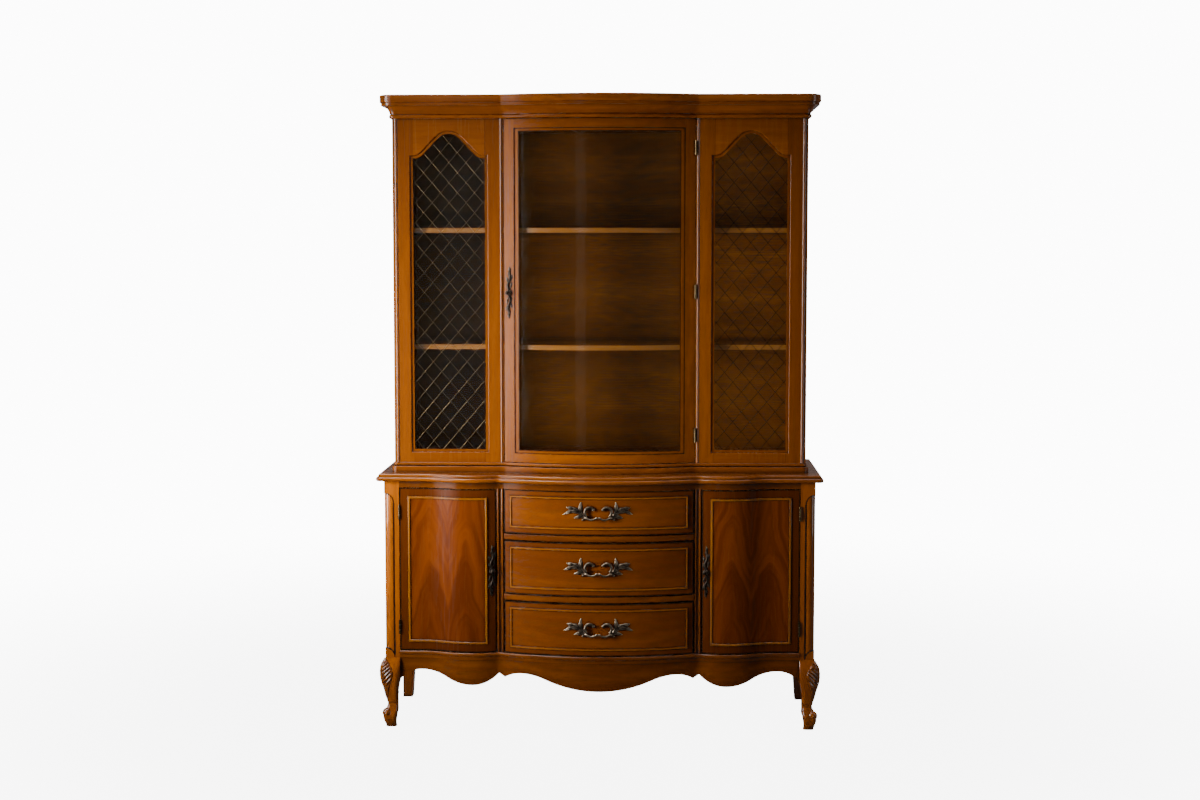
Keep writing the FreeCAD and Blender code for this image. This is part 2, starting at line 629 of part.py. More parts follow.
both_sides("partition", board("partition", "-divider_middle - partition_thickness / 2",
                              "post_y + rail_depth", "opening_base", "partition_thickness",
                              "%s - post_y - rail_depth" % inner_back, "top_base - opening_base"))

# Dividers between doors and drawers, each with two beads up its face.
divider = new_body("divider")
face = "post_y - valley_out + valley_radius + divider_bead"
strip = "(divider_width - divider_groove) / 2"
reed = ("(divider_bead ^ 2 + (%s) ^ 2 / 4) / (2 * divider_bead)" % strip, "out")
layer(divider, "XY_Plane", [[
    ("-divider_outside", face) + reed, ("-divider_outside + %s" % strip, face),
    ("-divider_inside - %s" % strip, face) + reed, ("-divider_inside", face),
    ("-divider_inside", "post_y + rail_depth"), ("-divider_outside", "post_y + rail_depth")]],
    "opening_base", "opening_height")
pair("dividers", divider)

# Rails, base moulding and scalloped apron along the serpentine front.
top_rail = new_body("top_rail")
layer(top_rail, "XY_Plane", [backed(serpentine("post_inside", "0"), "post_inside",
                                    "post_y + rail_depth")], "opening_top", "top_rail_height")
node("top_rail", top_rail)

rails = []
for level in ("lower_drawer_base + lower_drawer_height + drawer_gap",
              "middle_drawer_base + middle_drawer_height + drawer_gap"):
    rail = new_body("drawer_rail")
    rim = on_centre("divider_inside", "-drawer_rail_recess")
    layer(rail, "XY_Plane", [[
        ("-divider_inside", rim, "centre_radius - drawer_rail_recess", "out"), ("divider_inside", rim),
        ("divider_inside", "post_y + rail_depth"), ("-divider_inside", "post_y + rail_depth")]],
        level, "drawer_rail_height")
    rails.append(rounded(rail, "drawer_rail_round", front_edge("post_y + rail_depth")))
node("drawer_rails", grouped("drawer_rail_pair", rails))

moulding = new_body("base_moulding")
moulding_back = "post_y + moulding_depth"
layer(moulding, "XY_Plane", [backed(serpentine("post_inside", "moulding_proud"), "post_inside",
                                    moulding_back)],
      "moulding_base + moulding_height - moulding_bead", "moulding_bead")
rounded(moulding, "moulding_round", front_edge(moulding_back))
layer(moulding, "XY_Plane", [backed(serpentine("post_inside", "moulding_band_proud"), "post_inside",
                                    moulding_back)],
      "moulding_base", "moulding_height - moulding_bead")
node("base_moulding", moulding)


def tangent(wide, tall):
    """Radius, or sum of radii, of arcs that start level and cross a span and a rise."""
    return "((%s) ^ 2 + (%s) ^ 2) / (2 * (%s))" % (wide, tall, tall)


def hung(drop):
    return "moulding_base - (%s)" % drop


def between(start, stop, share):
    return "%s + (%s - (%s)) * %s" % (start, stop, start, share)


lobe_sum = tangent("apron_crest_x - apron_lobe_x", "apron_lobe_drop - apron_crest_drop")
rise_sum = tangent("apron_rise_x", "apron_centre_drop - apron_rise_drop")
crest_end = tangent("post_inside - apron_crest_x", "apron_end_drop - apron_crest_drop")
lobe_end = tangent("apron_lobe_x - apron_notch_x", "apron_lobe_drop - apron_notch_drop")
rise_end = tangent("apron_tip_x - apron_rise_x", "apron_tip_drop - apron_rise_drop")
scallop = [
    ("post_inside", hung("apron_end_drop"), crest_end, "out"),
    ("apron_crest_x", hung("apron_crest_drop"), "apron_lobe_share * %s" % lobe_sum, "out"),
    (between("apron_crest_x", "apron_lobe_x", "apron_lobe_share"),
     hung(between("apron_crest_drop", "apron_lobe_drop", "apron_lobe_share")),
     "(1 - apron_lobe_share) * %s" % lobe_sum, "in"),
    ("apron_lobe_x", hung("apron_lobe_drop"), lobe_end, "in"),
    ("apron_notch_x", hung("apron_notch_drop")),
    ("apron_tip_x", hung("apron_tip_drop"), rise_end, "out"),
    ("apron_rise_x", hung("apron_rise_drop"), "apron_centre_share * %s" % rise_sum, "out"),
    ("apron_rise_x * (1 - apron_centre_share)",
     hung(between("apron_rise_drop", "apron_centre_drop", "apron_centre_share")),
     "(1 - apron_centre_share) * %s" % rise_sum, "in")]
mirror_half = []
for corner, before in zip(reversed(scallop), list(reversed(scallop))[1:] + [("", "")]):
    mirror_half.append((minus(corner[0]), corner[1]) + before[2:])
apron = new_body("apron")
layer(apron, "XY_Plane", [serpentine("post_inside", "-apron_recess")
                          + returned(serpentine("post_inside", "-apron_recess - apron_thickness"))],
      hung("apron_drop"), "apron_drop")
under = hung("apron_drop + apron_thickness")
cut(apron, "XZ_Plane", [[("-post_inside", under), ("post_inside", under)] + scallop + mirror_half],
    "post_y - centre_bow", "centre_bow + apron_recess + 2 * apron_thickness")
node("apron", apron)

# Hutch case: base board, floor with a beaded edge, sides, back, ceiling.
base_board = new_body("hutch_base_board")
layer(base_board, "XY_Plane", [hutch_slab("base_board_overhang", "hutch_corner + base_board_overhang")],
      "top_face", "base_board_thickness")
rounded(base_board, "base_board_round",
        lambda edge: level_edge("back_y")(edge) and edge.BoundBox.ZMin > value("top_face") + FINE)
node("hutch_base_board", base_board)
hutch_floor = new_body("hutch_floor")
layer(hutch_floor, "XY_Plane", [hutch_slab("hutch_floor_overhang", "hutch_corner + hutch_floor_overhang")],
      "hutch_floor_base", "hutch_floor_thickness")
rounded(hutch_floor, "hutch_floor_round", level_edge("back_y"))
node("hutch_floor", hutch_floor)

shelf_heights = {"lower": "hutch_base + lower_shelf_height", "upper": "hutch_base + upper_shelf_height"}
side_face = "hutch_half - hutch_side_thickness"
side_front = "hutch_y + hutch_post_depth"
side_back = "back_y - hutch_back_thickness"


def shelf_pins(name):
    """Pins in the left side, one near each end of both shelves."""
    pins = []
    for height in shelf_heights.values():
        for depth in (side_front + " + pin_inset", side_back + " - pin_inset"):
            pin = rod(name, "-(%s) - pin_hole" % side_face, depth, height + " - pin_diameter / 2",
                      "pin_diameter / 2", "pin_hole + pin_reach")
            pins.append(turned(pin, FreeCAD.Rotation(AXIS_Z, AXIS_X)))
    return grouped(name + "_set", pins)


pins = shelf_pins("shelf_pin")
plain_side = board("hutch_side_board", "-hutch_half", side_front, "hutch_base", "hutch_side_thickness",
                   "%s - (%s)" % (side_back, side_front), "hutch_height")
hutch_side = doc.addObject("Part::Cut", "hutch_side")
hutch_side.Base = plain_side
hutch_side.Tool = pins
both_sides("hutch_side", hutch_side)
node("shelf_pins", grouped("shelf_pin_pairs", [pins, mirrored("shelf_pin_twins", pins)]))
node("hutch_back", board("hutch_back", "-hutch_half", side_back, "hutch_base", "2 * hutch_half",
                         "hutch_back_thickness", "hutch_height"))
node("hutch_ceiling", board("hutch_ceiling", minus(side_face), "hutch_y + ceiling_setback",
                            "hutch_top - ceiling_thickness", "2 * (%s)" % side_face,
                            "%s - hutch_y - ceiling_setback" % side_back, "ceiling_thickness"))

# Beaded corner posts, and the mullions on either side of the door.
corner = new_body("hutch_post")
layer(corner, "XY_Plane", [[
    ("-hutch_half", "hutch_y + post_edge", "post_edge", "out"), ("-hutch_half + post_edge", "hutch_y"),
    ("-hutch_half + post_bead_inset", "hutch_y", "post_bead_radius", "out"),
    ("-hutch_half + post_bead_inset + post_bead_width", "hutch_y"), ("-light_outside", "hutch_y"),
    ("-light_outside", side_front), ("-hutch_half", side_front)]], "hutch_base", "hutch_height")
pair("hutch_posts", corner)
mullion = new_body("hutch_mullion")
bead_gap = "(mullion_width - mullion_bead_width) / 2"
layer(mullion, "XY_Plane", [[
    ("-light_inside", "hutch_y"),
    ("-light_inside + %s" % bead_gap, "hutch_y", "mullion_bead_radius", "out"),
    ("-light_inside + %s + mullion_bead_width" % bead_gap, "hutch_y"),
    ("-light_inside + mullion_width", "hutch_y"),
    ("-light_inside + mullion_width", "hutch_y + mullion_depth"),
    ("-light_inside", "hutch_y + mullion_depth")]], "hutch_base", "hutch_height")
pair("hutch_mullions", mullion)

# Two shelves that follow the bow of the door.
for name, height in shelf_heights.items():
    shelf = new_body("shelf_" + name)
    shelf_half = side_face + " - shelf_gap"
    layer(shelf, "XY_Plane", [backed(hutch_front(shelf_half, "-shelf_setback", "shelf_round"), shelf_half,
                                     side_back + " - shelf_gap")], height, "shelf_thickness")
    node("hutch_shelf_" + name, shelf)

# Cornice: bead, cyma and fillet round a hollow frame, with a slab on top.
cornice = new_body("cornice_moulding")
bead_top = "hutch_top + cornice_bead_height"
cyma_top = bead_top + " + cornice_cyma_height"
slab_base = cyma_top + " + cornice_fillet_height"
layer(cornice, "XY_Plane", [hutch_slab("cornice_bead_overhang", "hutch_corner + cornice_bead_overhang")],
      "hutch_top", "cornice_bead_height")
rounded(cornice, "cornice_bead_round", level_edge("back_y"))
swept = []
for up, spread in CYMA_SHARES:
    out = "cornice_cyma_low + %s * (cornice_cyma_high - cornice_cyma_low)" % spread
    swept.append(draw(cornice, "XY_Plane", [hutch_slab(out, "hutch_corner + " + out)],
                      "%s + %s * cornice_cyma_height" % (bead_top, up)))
cyma = cornice.newObject("PartDesign::AdditiveLoft", "cornice_cyma")
cyma.Profile = swept[0]
cyma.Sections = swept[1:]
doc.recompute()
layer(cornice, "XY_Plane", [hutch_slab("cornice_fillet_overhang", "hutch_corner + cornice_fillet_overhang")],
      cyma_top, "cornice_fillet_height")
cut(cornice, "XY_Plane", [rectangle("-hutch_half + cornice_wall", "hutch_half - cornice_wall",
                                    "hutch_y + cornice_wall", "back_y - cornice_wall")],
    "hutch_top", "cornice_bead_height + cornice_cyma_height + cornice_fillet_height")
node("cornice_moulding", cornice)
slab = new_body("cornice_board")
layer(slab, "XY_Plane", [hutch_slab("cornice_slab_overhang", "hutch_corner + cornice_slab_overhang")],
      slab_base, "cornice_slab_height")
rounded(slab, "cornice_slab_round", level_edge("back_y"))
node("cornice_board", slab)


# Fixed side lights: a frame with an ogee-arched opening, a wire lattice and a pane behind it.
def arch_loop(grow):
    """Opening of the left light, grown on every side: a round crown, straight slopes, hollow feet."""
    cove = "(arch_cove - (%s))" % grow
    crown = "(arch_crown + (%s))" % grow
    cove_end = ("arch_half - %s * sin(arch_slope)" % cove,
                "light_shoulder + arch_cove - %s * cos(arch_slope)" % cove)
    crown_end = ("%s * sin(arch_slope)" % crown,
                 "light_shoulder + arch_rise - arch_crown + %s * cos(arch_slope)" % crown)
    left, right = "-light_middle - (%s)", "-light_middle + (%s)"
    side = "light_half + (%s)" % grow
    sill = "light_sill - (%s)" % grow
    shoulder = "light_shoulder + (%s)" % grow
    return [(left % side, sill), (right % side, sill), (right % side, shoulder),
            (right % "arch_half", shoulder, cove, "in"), (right % cove_end[0], cove_end[1]),
            (right % crown_end[0], crown_end[1], crown, "out"), (left % crown_end[0], crown_end[1]),
            (left % cove_end[0], cove_end[1], cove, "in"), (left % "arch_half", shoulder),
            (left % side, shoulder)]


light = new_body("side_frame")
outer = rectangle("-light_outside", "-light_inside", "hutch_base", "hutch_top")
pane_half = "light_half + light_rebate"
pane_low = "light_sill - light_rebate"
pane_high = "hutch_top - light_top_margin + light_rebate"
rebate = rectangle("-light_middle - (%s)" % pane_half, "-light_middle + %s" % pane_half, pane_low, pane_high)
layer(light, "XZ_Plane", [outer, arch_loop("light_step_width")], "hutch_y", "light_face_depth")
rounded(light, "light_round", lambda edge: edge.BoundBox.YMax < value("hutch_y") + FINE
        and edge.BoundBox.XMin > value("-light_outside") + FINE
        and edge.BoundBox.XMax < value("-light_inside") - FINE)
layer(light, "XZ_Plane", [outer, arch_loop("0")], "hutch_y + light_face_depth", "light_step_depth")
layer(light, "XZ_Plane", [outer, rebate], "light_rebate_y", "light_back_depth")
both_sides("side_frame", light)
pane = board("side_pane", "-light_middle - (%s) + glass_slack" % pane_half,
             "light_rebate_y + 2 * wire_size", pane_low + " + glass_slack",
             "2 * (%s - glass_slack)" % pane_half, "glass_thickness",
             "%s - (%s) - 2 * glass_slack" % (pane_high, pane_low))
pair("side_glass", pane)


def lattice():
    """Two layers of slanted wires in the rebate, cut to its size."""
    slack, size = value("glass_slack"), value("wire_size")
    wide, tall = 2 * (value(pane_half) - slack), value(pane_high) - value(pane_low) - 2 * slack
    slope = value("diamond_height") / value("diamond_width")
    low = FreeCAD.Vector(-value("light_middle") - wide / 2, value("light_rebate_y"), value(pane_low) + slack)
    middle = low + FreeCAD.Vector(wide / 2, 0, tall / 2)
    reach = int((wide + tall / slope) / 2 / value("diamond_width")) + 1
    angle = FreeCAD.Rotation(AXIS_X, FreeCAD.Vector(1, 0, slope))
    length = 2 * (wide + tall)
    wires = []
    for depth, turn in ((0, angle), (size, angle.inverted())):
        frame = Part.makeBox(wide, size, tall, low + AXIS_Y * depth)
        for count in range(-reach, reach + 1):
            wire = Part.makeBox(length, size, size, FreeCAD.Vector(-length / 2, 0, -size / 2))
            wire.Placement = FreeCAD.Placement(
                middle + FreeCAD.Vector((count + HALF_STEP_SHARE) * value("diamond_width"), depth, 0), turn)
            piece = frame.common(wire)
            if piece.Solids:
                wires.extend(piece.Solids)
    return Part.makeCompound(wires)


wires = doc.addObject("Part::Feature", "wire_lattice")
wires.Shape = lattice()
pair("wire_lattice", wires)

# Hutch door: bowed stiles and rails, stepped towards a curved pane that lies in their rebate.
HUTCH = ("hutch_y", "hutch_core")
face_back = "-hutch_door_face_depth"
step_back = "-hutch_door_face_depth - hutch_door_step_depth"
rear_back = "-hutch_door_depth"
face_half = "hutch_door_half - hutch_door_face_stile"
pane_edge = "hutch_door_light + hutch_door_rebate"


def bowed(x, out):
    return on_centre(x, out, *HUTCH)


def arc(out, side):
    return ("centre_radius + (%s)" % out, side)


stile = new_body("hutch_door_stile")
layer(stile, "XY_Plane", [[
    ("-hutch_door_half", bowed("hutch_door_half", "0")) + arc("0", "out"),
    (minus(face_half), bowed(face_half, "0")),
    (minus(face_half), bowed(face_half, face_back)) + arc(face_back, "out"),
    ("-hutch_door_light", bowed("hutch_door_light", face_back)),
    ("-hutch_door_light", bowed("hutch_door_light", step_back)) + arc(step_back, "in"),
    (minus(pane_edge), bowed(pane_edge, step_back)),
    (minus(pane_edge), bowed(pane_edge, rear_back)) + arc(rear_back, "in"),
    ("-hutch_door_half", bowed("hutch_door_half", rear_back))]],
    "hutch_door_base", "hutch_door_height")
pair("hutch_door_stiles", stile)

face_tall = "hutch_door_face_rail"
step_tall = "hutch_door_face_rail + hutch_door_rail_step"
rear_tall = step_tall + " - hutch_door_rebate"
door_rails = []
for end in ("bottom", "top"):
    rail = new_body("hutch_door_rail_" + end)
    for half, front, back, tall in ((face_half, "0", face_back, face_tall),
                                    ("hutch_door_light", face_back, step_back, step_tall),
                                    (pane_edge, step_back, rear_back, rear_tall)):
        low = "hutch_door_base"
        if end == "top":
            low = "hutch_door_base + hutch_door_height - (%s)" % tall
        layer(rail, "XY_Plane", [bow_band(half, front, back, *HUTCH)], low, tall)
    door_rails.append(rail)
node("hutch_door_rails", grouped("hutch_door_rail_pair", door_rails))
glass = new_body("hutch_door_glass")
glass_front = step_back + " - glass_slack"
layer(glass, "XY_Plane", [bow_band(pane_edge + " - glass_slack", glass_front,
                                   glass_front + " - glass_thickness", *HUTCH)],
      "hutch_door_base + %s + glass_slack" % rear_tall,
      "hutch_door_height - 2 * (%s + glass_slack)" % rear_tall)
node("hutch_door_glass", glass)


# Buffet doors: a serpentine panel with a bead planted on its face.
def bead_frame(name, face, outline, window, low, tall):
    """Round bead planted on a face: a raised band with its middle cut away."""
    bead = new_body(name)
    layer(bead, "XY_Plane", [outline], low, tall)
    cut(bead, "XZ_Plane", [window], "post_y - centre_bow - 2 * bead_height",
        "centre_bow + 2 * bead_height + door_thickness")
    stand = value("bead_height / 2")
    return rounded(bead, "bead_round", lambda edge: edge.distToShape(face.Shape)[0] > stand)


panel = new_body("door_panel")
layer(panel, "XY_Plane", [door_curve("door_outside", "door_inside", "0")
                          + returned(door_curve("door_outside", "door_inside", "-door_thickness"))],
      "door_base", "door_height")
node("left_door_panel", panel)
node("right_door_panel", mirrored("door_panel_twin", panel))
bead_outside, bead_inside = "door_outside - door_bead_inset", "door_inside + door_bead_inset"
bead_low = "door_base + door_bead_inset"
bead_tall = "door_height - 2 * door_bead_inset"
door_bead = bead_frame(
    "door_bead", panel, door_curve(bead_outside, bead_inside, "bead_height")
    + returned(door_curve(bead_outside, bead_inside, "0")),
    rectangle("-(%s) + bead_width" % bead_outside, "-(%s) - bead_width" % bead_inside,
              bead_low + " + bead_width", "%s + %s - bead_width" % (bead_low, bead_tall)),
    bead_low, bead_tall)
node("left_door_bead", door_bead)
node("right_door_bead", mirrored("door_bead_twin", door_bead))


# Drawers: a bowed front with its bead, and a box of two sides, a back and a bottom.
def drawer(name, low, tall):
    front = new_body(name + "_front")
    layer(front, "XY_Plane", [bow_band("drawer_half", "0", "-drawer_front_thickness")], low, tall)
    rim = "drawer_half - drawer_bead_inset"
    bead = bead_frame(name + "_bead", front, bow_band(rim, "bead_height", "0"),
                      rectangle("-(%s) + bead_width" % rim, "%s - bead_width" % rim,
                                "%s + drawer_bead_inset + bead_width" % low,
                                "%s + %s - drawer_bead_inset - bead_width" % (low, tall)),
                      "%s + drawer_bead_inset" % low, "%s - 2 * drawer_bead_inset" % tall)
    node(name + "_front", grouped(name + "_front_set", [front, bead]))
    inside = "-drawer_front_thickness"
    wide = "drawer_half - drawer_side_inset"
    slim = wide + " - drawer_side_thickness"
    rear = "post_y + drawer_depth"
    base = "%s + drawer_base_lift" % low
    box_tall = "%s - drawer_base_lift - drawer_top_drop" % tall
    side = new_body(name + "_side")
    layer(side, "XY_Plane", [[
        (minus(wide), on_centre(wide, inside)) + arc(inside, "out"), (minus(slim), on_centre(slim, inside)),
        (minus(slim), rear), (minus(wide), rear)]], base, box_tall)
    bottom = new_body(name + "_bottom")
    layer(bottom, "XY_Plane", [[
        (minus(slim), on_centre(slim, inside)) + arc(inside, "out"), (slim, on_centre(slim, inside)),
        (slim, rear + " - drawer_side_thickness"), (minus(slim), rear + " - drawer_side_thickness")]],
        base + " + drawer_bottom_lift", "drawer_bottom_thickness")
    back = board(name + "_back", minus(slim), rear + " - drawer_side_thickness", base, "2 * (%s)" % slim,
                 "drawer_side_thickness", box_tall)
    node(name + "_box", grouped(name + "_box_set", [side, mirrored(name + "_side_twin", side), bottom, back]))


drawers = {"drawer_lower": ("lower_drawer_base", "lower_drawer_height"),
           "drawer_middle": ("middle_drawer_base", "middle_drawer_height"),
           "drawer_upper": ("upper_drawer_base", "upper_drawer_height")}
runners = []
for name, (low, tall) in drawers.items():
    drawer(name, low, tall)
    runner_wall = "divider_middle - partition_thickness / 2"
    runner_edge = "drawer_half - drawer_side_inset - drawer_side_thickness"
    runners.append(board(name + "_runner", minus(runner_wall), "post_y + rail_depth",
                         "%s + drawer_base_lift - runner_slack - runner_height" % low,
                         "%s - (%s)" % (runner_wall, runner_edge), "drawer_depth - rail_depth",
                         "runner_height"))
node("drawer_runners", grouped("drawer_runner_set", runners + [
    mirrored("drawer_runner_twin", runner) for runner in runners]))


# Butt hinges: the fixed leaf holds the pin and the outer knuckles, the door's leaf the middle one.
def hinge(name, axis_x, axis_y, low):
    """Hinge of a door that is hung on its left."""
    plate_y = "%s + barrel_radius + knuckle_gap" % axis_y
    plate_deep = "leaf_depth - barrel_radius - knuckle_gap"
    third = "(hinge_height - 2 * knuckle_gap) / 3"
    lows = [low, "%s + %s + knuckle_gap" % (low, third), "%s + 2 * (%s + knuckle_gap)" % (low, third)]
    fixed_x = "-(%s) - hinge_gap / 2" % axis_x
    door_x = "-(%s) + hinge_gap / 2 - leaf_thickness" % axis_x

    def leaf(kind, plate_x, steps):
        parts = [board(name + kind, plate_x, plate_y, low, "leaf_thickness", plate_deep, "hinge_height")]
        for step in steps:
            parts.append(board(name + kind, plate_x, axis_y, lows[step], "leaf_thickness",
                               "barrel_radius + knuckle_gap", third))
            parts.append(rod(name + kind, minus(axis_x), axis_y, lows[step], "barrel_radius", third))
        return parts

    pin = rod(name + "_pin", minus(axis_x), axis_y, low, "hinge_pin_radius", "hinge_height")
    fixed = joined(name + "_fixed_leaf", leaf("_fixed", fixed_x, (0, 2)) + [pin])
    hung = doc.addObject("Part::Cut", name + "_door_leaf")
    hung.Base = joined(name + "_door_blank", leaf("_door", door_x, (1,)))
    hung.Tool = rod(name + "_bore", minus(axis_x), axis_y, low, "hinge_pin_radius + hinge_pin_slack",
                    "hinge_height")
    return fixed, hung


buffet_hinges = [hinge("buffet_hinge", "door_outside + hinge_gap / 2",
                       "post_y - barrel_radius - barrel_stand", low)
                 for low in ("door_base + buffet_hinge_low",
                             "door_base + door_height - buffet_hinge_high - hinge_height")]
fixed_leaves = grouped("buffet_fixed_set", [fixed for fixed, hung in buffet_hinges])
door_leaves = grouped("buffet_door_set", [hung for fixed, hung in buffet_hinges])
pair("buffet_hinge_fixed_leaves", fixed_leaves)
node("left_door_hinge_leaves", door_leaves)
node("right_door_hinge_leaves", mirrored("door_leaf_twins", door_leaves))
hutch_hinges = [hinge("hutch_hinge", "hutch_door_half + hinge_gap / 2",
                      bowed("hutch_door_half", "0") + " - barrel_radius - barrel_stand", low)
                for low in ("hutch_door_base + hutch_hinge_low",
                            "hutch_door_base + (hutch_door_height - hinge_height) / 2",
                            "hutch_door_base + hutch_door_height - hutch_hinge_high - hinge_height")]
node("hutch_hinge_fixed_leaves", mirrored("hutch_fixed_twins", grouped(
    "hutch_fixed_set", [fixed for fixed, hung in hutch_hinges])))
node("hutch_door_hinge_leaves", mirrored("hutch_leaf_twins", grouped(
    "hutch_leaf_set", [hung for fixed, hung in hutch_hinges])))


# Cast bail pulls of the drawers: two leaf sprays, two posts, two scrolls and a hanging grip.
FORWARD = FreeCAD.Rotation(AXIS_Z, -AXIS_Y)
QUARTER_TURN = 90


def leaf_spray(name):
    """Leaves of the left side, leaning back along the bow of the drawer."""
    leaves = []
    for tip, fullness in LEAF_SHARES:
        across, up = tip[0] - LEAF_ROOT_SHARES[0], tip[1] - LEAF_ROOT_SHARES[1]
        curve = "sqrt((pull_half * %s) ^ 2 + (pull_up * %s) ^ 2) * (1 + %s ^ 2) / (4 * %s)" % (
            across, up, fullness, fullness)
        outline = [("-pull_half * %s" % (share - LEAN_SHARE), "pull_up * %s" % rise, curve, "out")
                   for share, rise in (LEAF_ROOT_SHARES, tip)]
        leaf = new_body(name)
        layer(leaf, "XZ_Plane", [outline], "-pull_plate", "pull_plate")
        leaves.append(place(leaf, "-pull_half * %s" % LEAN_SHARE, "-leaf_lift", "0", "-leaf_lean"))
    return leaves


def ring(name, bend, wire, sweep, start):
    """Part of a ring in the upright plane, from an angle measured from the right."""
    item = doc.addObject("Part::Torus", name)
    for side, text in (("Radius1", bend), ("Radius2", wire), ("Angle3", sweep)):
        item.setExpression(side, formula(text))
    upright = FreeCAD.Rotation(AXIS_X, QUARTER_TURN)
    return turned(item, upright.multiply(FreeCAD.Rotation(AXIS_Z, value(start))))


def knob(name, radius, x, y, z):
    ball = doc.addObject("Part::Sphere", name)
    ball.setExpression("Radius", formula(radius))
    return place(ball, x, y, z, "0")


def bail_pull(name, z):
    foot_y = "centre_radius - sqrt(centre_radius ^ 2 - (pull_post_x - pull_foot_radius) ^ 2)"
    side = leaf_spray(name + "_leaf")
    for kind, radius, length in (("_post", "pull_post_radius", "pull_reach + %s" % foot_y),
                                 ("_foot", "pull_foot_radius", "pull_foot_height")):
        upright = rod(name + kind, "-pull_post_x", foot_y, "-pull_post_drop", radius, length)
        side.append(turned(upright, FORWARD))
    side.append(knob(name + "_ball", "pull_ball_radius", "-pull_post_x", "-pull_reach", "-pull_post_drop"))
    scroll = ring(name + "_scroll", "scroll_bend", "scroll_wire", "scroll_sweep", "scroll_start")
    for spot, text in (("x", "-scroll_middle_x"), ("y", "-pull_reach"), ("z", "scroll_middle_up")):
        scroll.setExpression("Placement.Base." + spot, formula(text))
    side.append(scroll)
    side.append(knob(name + "_curl", "scroll_curl", "-scroll_middle_x + scroll_bend * cos(scroll_start)",
                     "-pull_reach", "scroll_middle_up + scroll_bend * sin(scroll_start)"))
    bend = "pull_post_x / sin(pull_grip_sweep / 2)"
    grip = ring(name + "_grip", bend, "pull_grip_radius", "pull_grip_sweep",
                "%s - pull_grip_sweep / 2" % (3 * QUARTER_TURN))
    for spot, text in (("y", "-pull_reach"), ("z", "%s * cos(pull_grip_sweep / 2) - pull_post_drop" % bend)):
        grip.setExpression("Placement.Base." + spot, formula(text))
    half = joined(name + "_side", side)
    whole = joined(name, [half, mirrored(name + "_side_twin", half), grip])
    return place(whole, "0", "post_y - centre_bow", z, "0")


for name, (low, tall) in drawers.items():
    node(name + "_pull", bail_pull(name + "_bail", "%s + %s * pull_share_in_drawer" % (low, tall)))


# Upright pulls of the doors: a lobed plate with a knob on a stem.
def upright_pull(name, x, y, z, angle):
    plate = new_body(name + "_plate")
    right = [(across, -up) for across, up in reversed(PLATE_SHARES)] + PLATE_SHARES
    around = right + [(-across, -up) for across, up in right]
    corners = [("door_pull_width * %s" % across, "door_pull_half * %s" % up, "door_pull_lobe", "out")
               for across, up in around]
    layer(plate, "XZ_Plane", [corners], "-door_pull_plate", "door_pull_plate")
    stem = turned(rod(name + "_stem", "0", "0", "0", "stem_radius", "door_pull_plate + stem_length"), FORWARD)
    end = knob(name + "_knob", "knob_radius", "0", "-door_pull_plate - stem_length", "0")
    return place(joined(name, [plate, stem, end]), x, y, z, angle)


door_pull_x = "door_inside + door_pull_inset"
door_pull = upright_pull("door_pull", minus(door_pull_x), on_bulge(door_pull_x, "0"),
                         "door_base + door_pull_height",
                         "asin((bulge_middle - %s) / bulge_radius)" % minus(minus(door_pull_x)))
node("left_door_pull", door_pull)
node("right_door_pull", mirrored("door_pull_twin", door_pull))
hutch_pull_x = "hutch_door_half - hutch_pull_inset"
node("hutch_door_pull", upright_pull("hutch_pull", minus(hutch_pull_x), bowed(hutch_pull_x, "0"),
                                     "hutch_door_base + hutch_pull_height",
                                     "-asin((%s) / centre_radius)" % hutch_pull_x))

# Every piece is checked before it is written.
doc.recompute()
for item in doc.Objects:
    if "Invalid" in item.State or "Error" in item.State:
        raise RuntimeError("%s does not build: %s" % (item.Label, item.State))
os.makedirs("parts", exist_ok=True)
for label, thing in nodes.items():
    if thing.Shape.isNull() or not thing.Shape.isValid():
        raise RuntimeError("%s has no sound shape" % label)
    thing.Shape.exportStep("parts/%s.step" % label)
print("%d nodes written" % len(nodes))
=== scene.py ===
# %% [markdown]
# # China hutch on a serpentine buffet
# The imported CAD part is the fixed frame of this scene: every board, hinge and pane is already in its
# place, in metres. This notebook dresses that frame with finishes, and replaces the plain castings and
# wires by finer pieces. Everything new rides on the body of the frame that carries it.

# %% Load the frame
import math

import bmesh
import bpy
from mathutils import Matrix, Vector
from mathutils.bvhtree import BVHTree


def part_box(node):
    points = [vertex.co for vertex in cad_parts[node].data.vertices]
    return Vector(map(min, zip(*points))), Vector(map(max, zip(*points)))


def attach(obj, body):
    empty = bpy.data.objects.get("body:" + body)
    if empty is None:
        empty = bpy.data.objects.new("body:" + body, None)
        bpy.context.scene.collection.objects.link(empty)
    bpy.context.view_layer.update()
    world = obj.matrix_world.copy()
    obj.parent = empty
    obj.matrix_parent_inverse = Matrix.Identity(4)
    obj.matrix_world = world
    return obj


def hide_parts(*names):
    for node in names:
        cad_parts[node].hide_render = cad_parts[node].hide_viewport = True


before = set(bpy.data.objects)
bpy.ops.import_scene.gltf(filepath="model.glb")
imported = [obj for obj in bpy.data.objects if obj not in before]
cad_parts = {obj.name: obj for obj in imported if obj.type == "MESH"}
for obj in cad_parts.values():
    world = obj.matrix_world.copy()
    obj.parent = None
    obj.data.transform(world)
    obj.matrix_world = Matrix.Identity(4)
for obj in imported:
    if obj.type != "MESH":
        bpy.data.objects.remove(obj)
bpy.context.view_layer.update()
MM = 0.001

# %% [markdown]
# ## Small tools for shader trees
# A shader tree can be wired by hand in the editor. In a script the same wiring is shorter with a few
# helpers: one adds a node to the tree in work and fills its inputs, the others do sums, mixes and masks
# with it. A new material or node group becomes the tree in work.

# %% Node helpers
MIX_AMOUNT, MIX_FIRST, MIX_SECOND, MIX_COLOUR = 0, 6, 7, 2
OPENNESS_SAMPLES = 6
work = {}


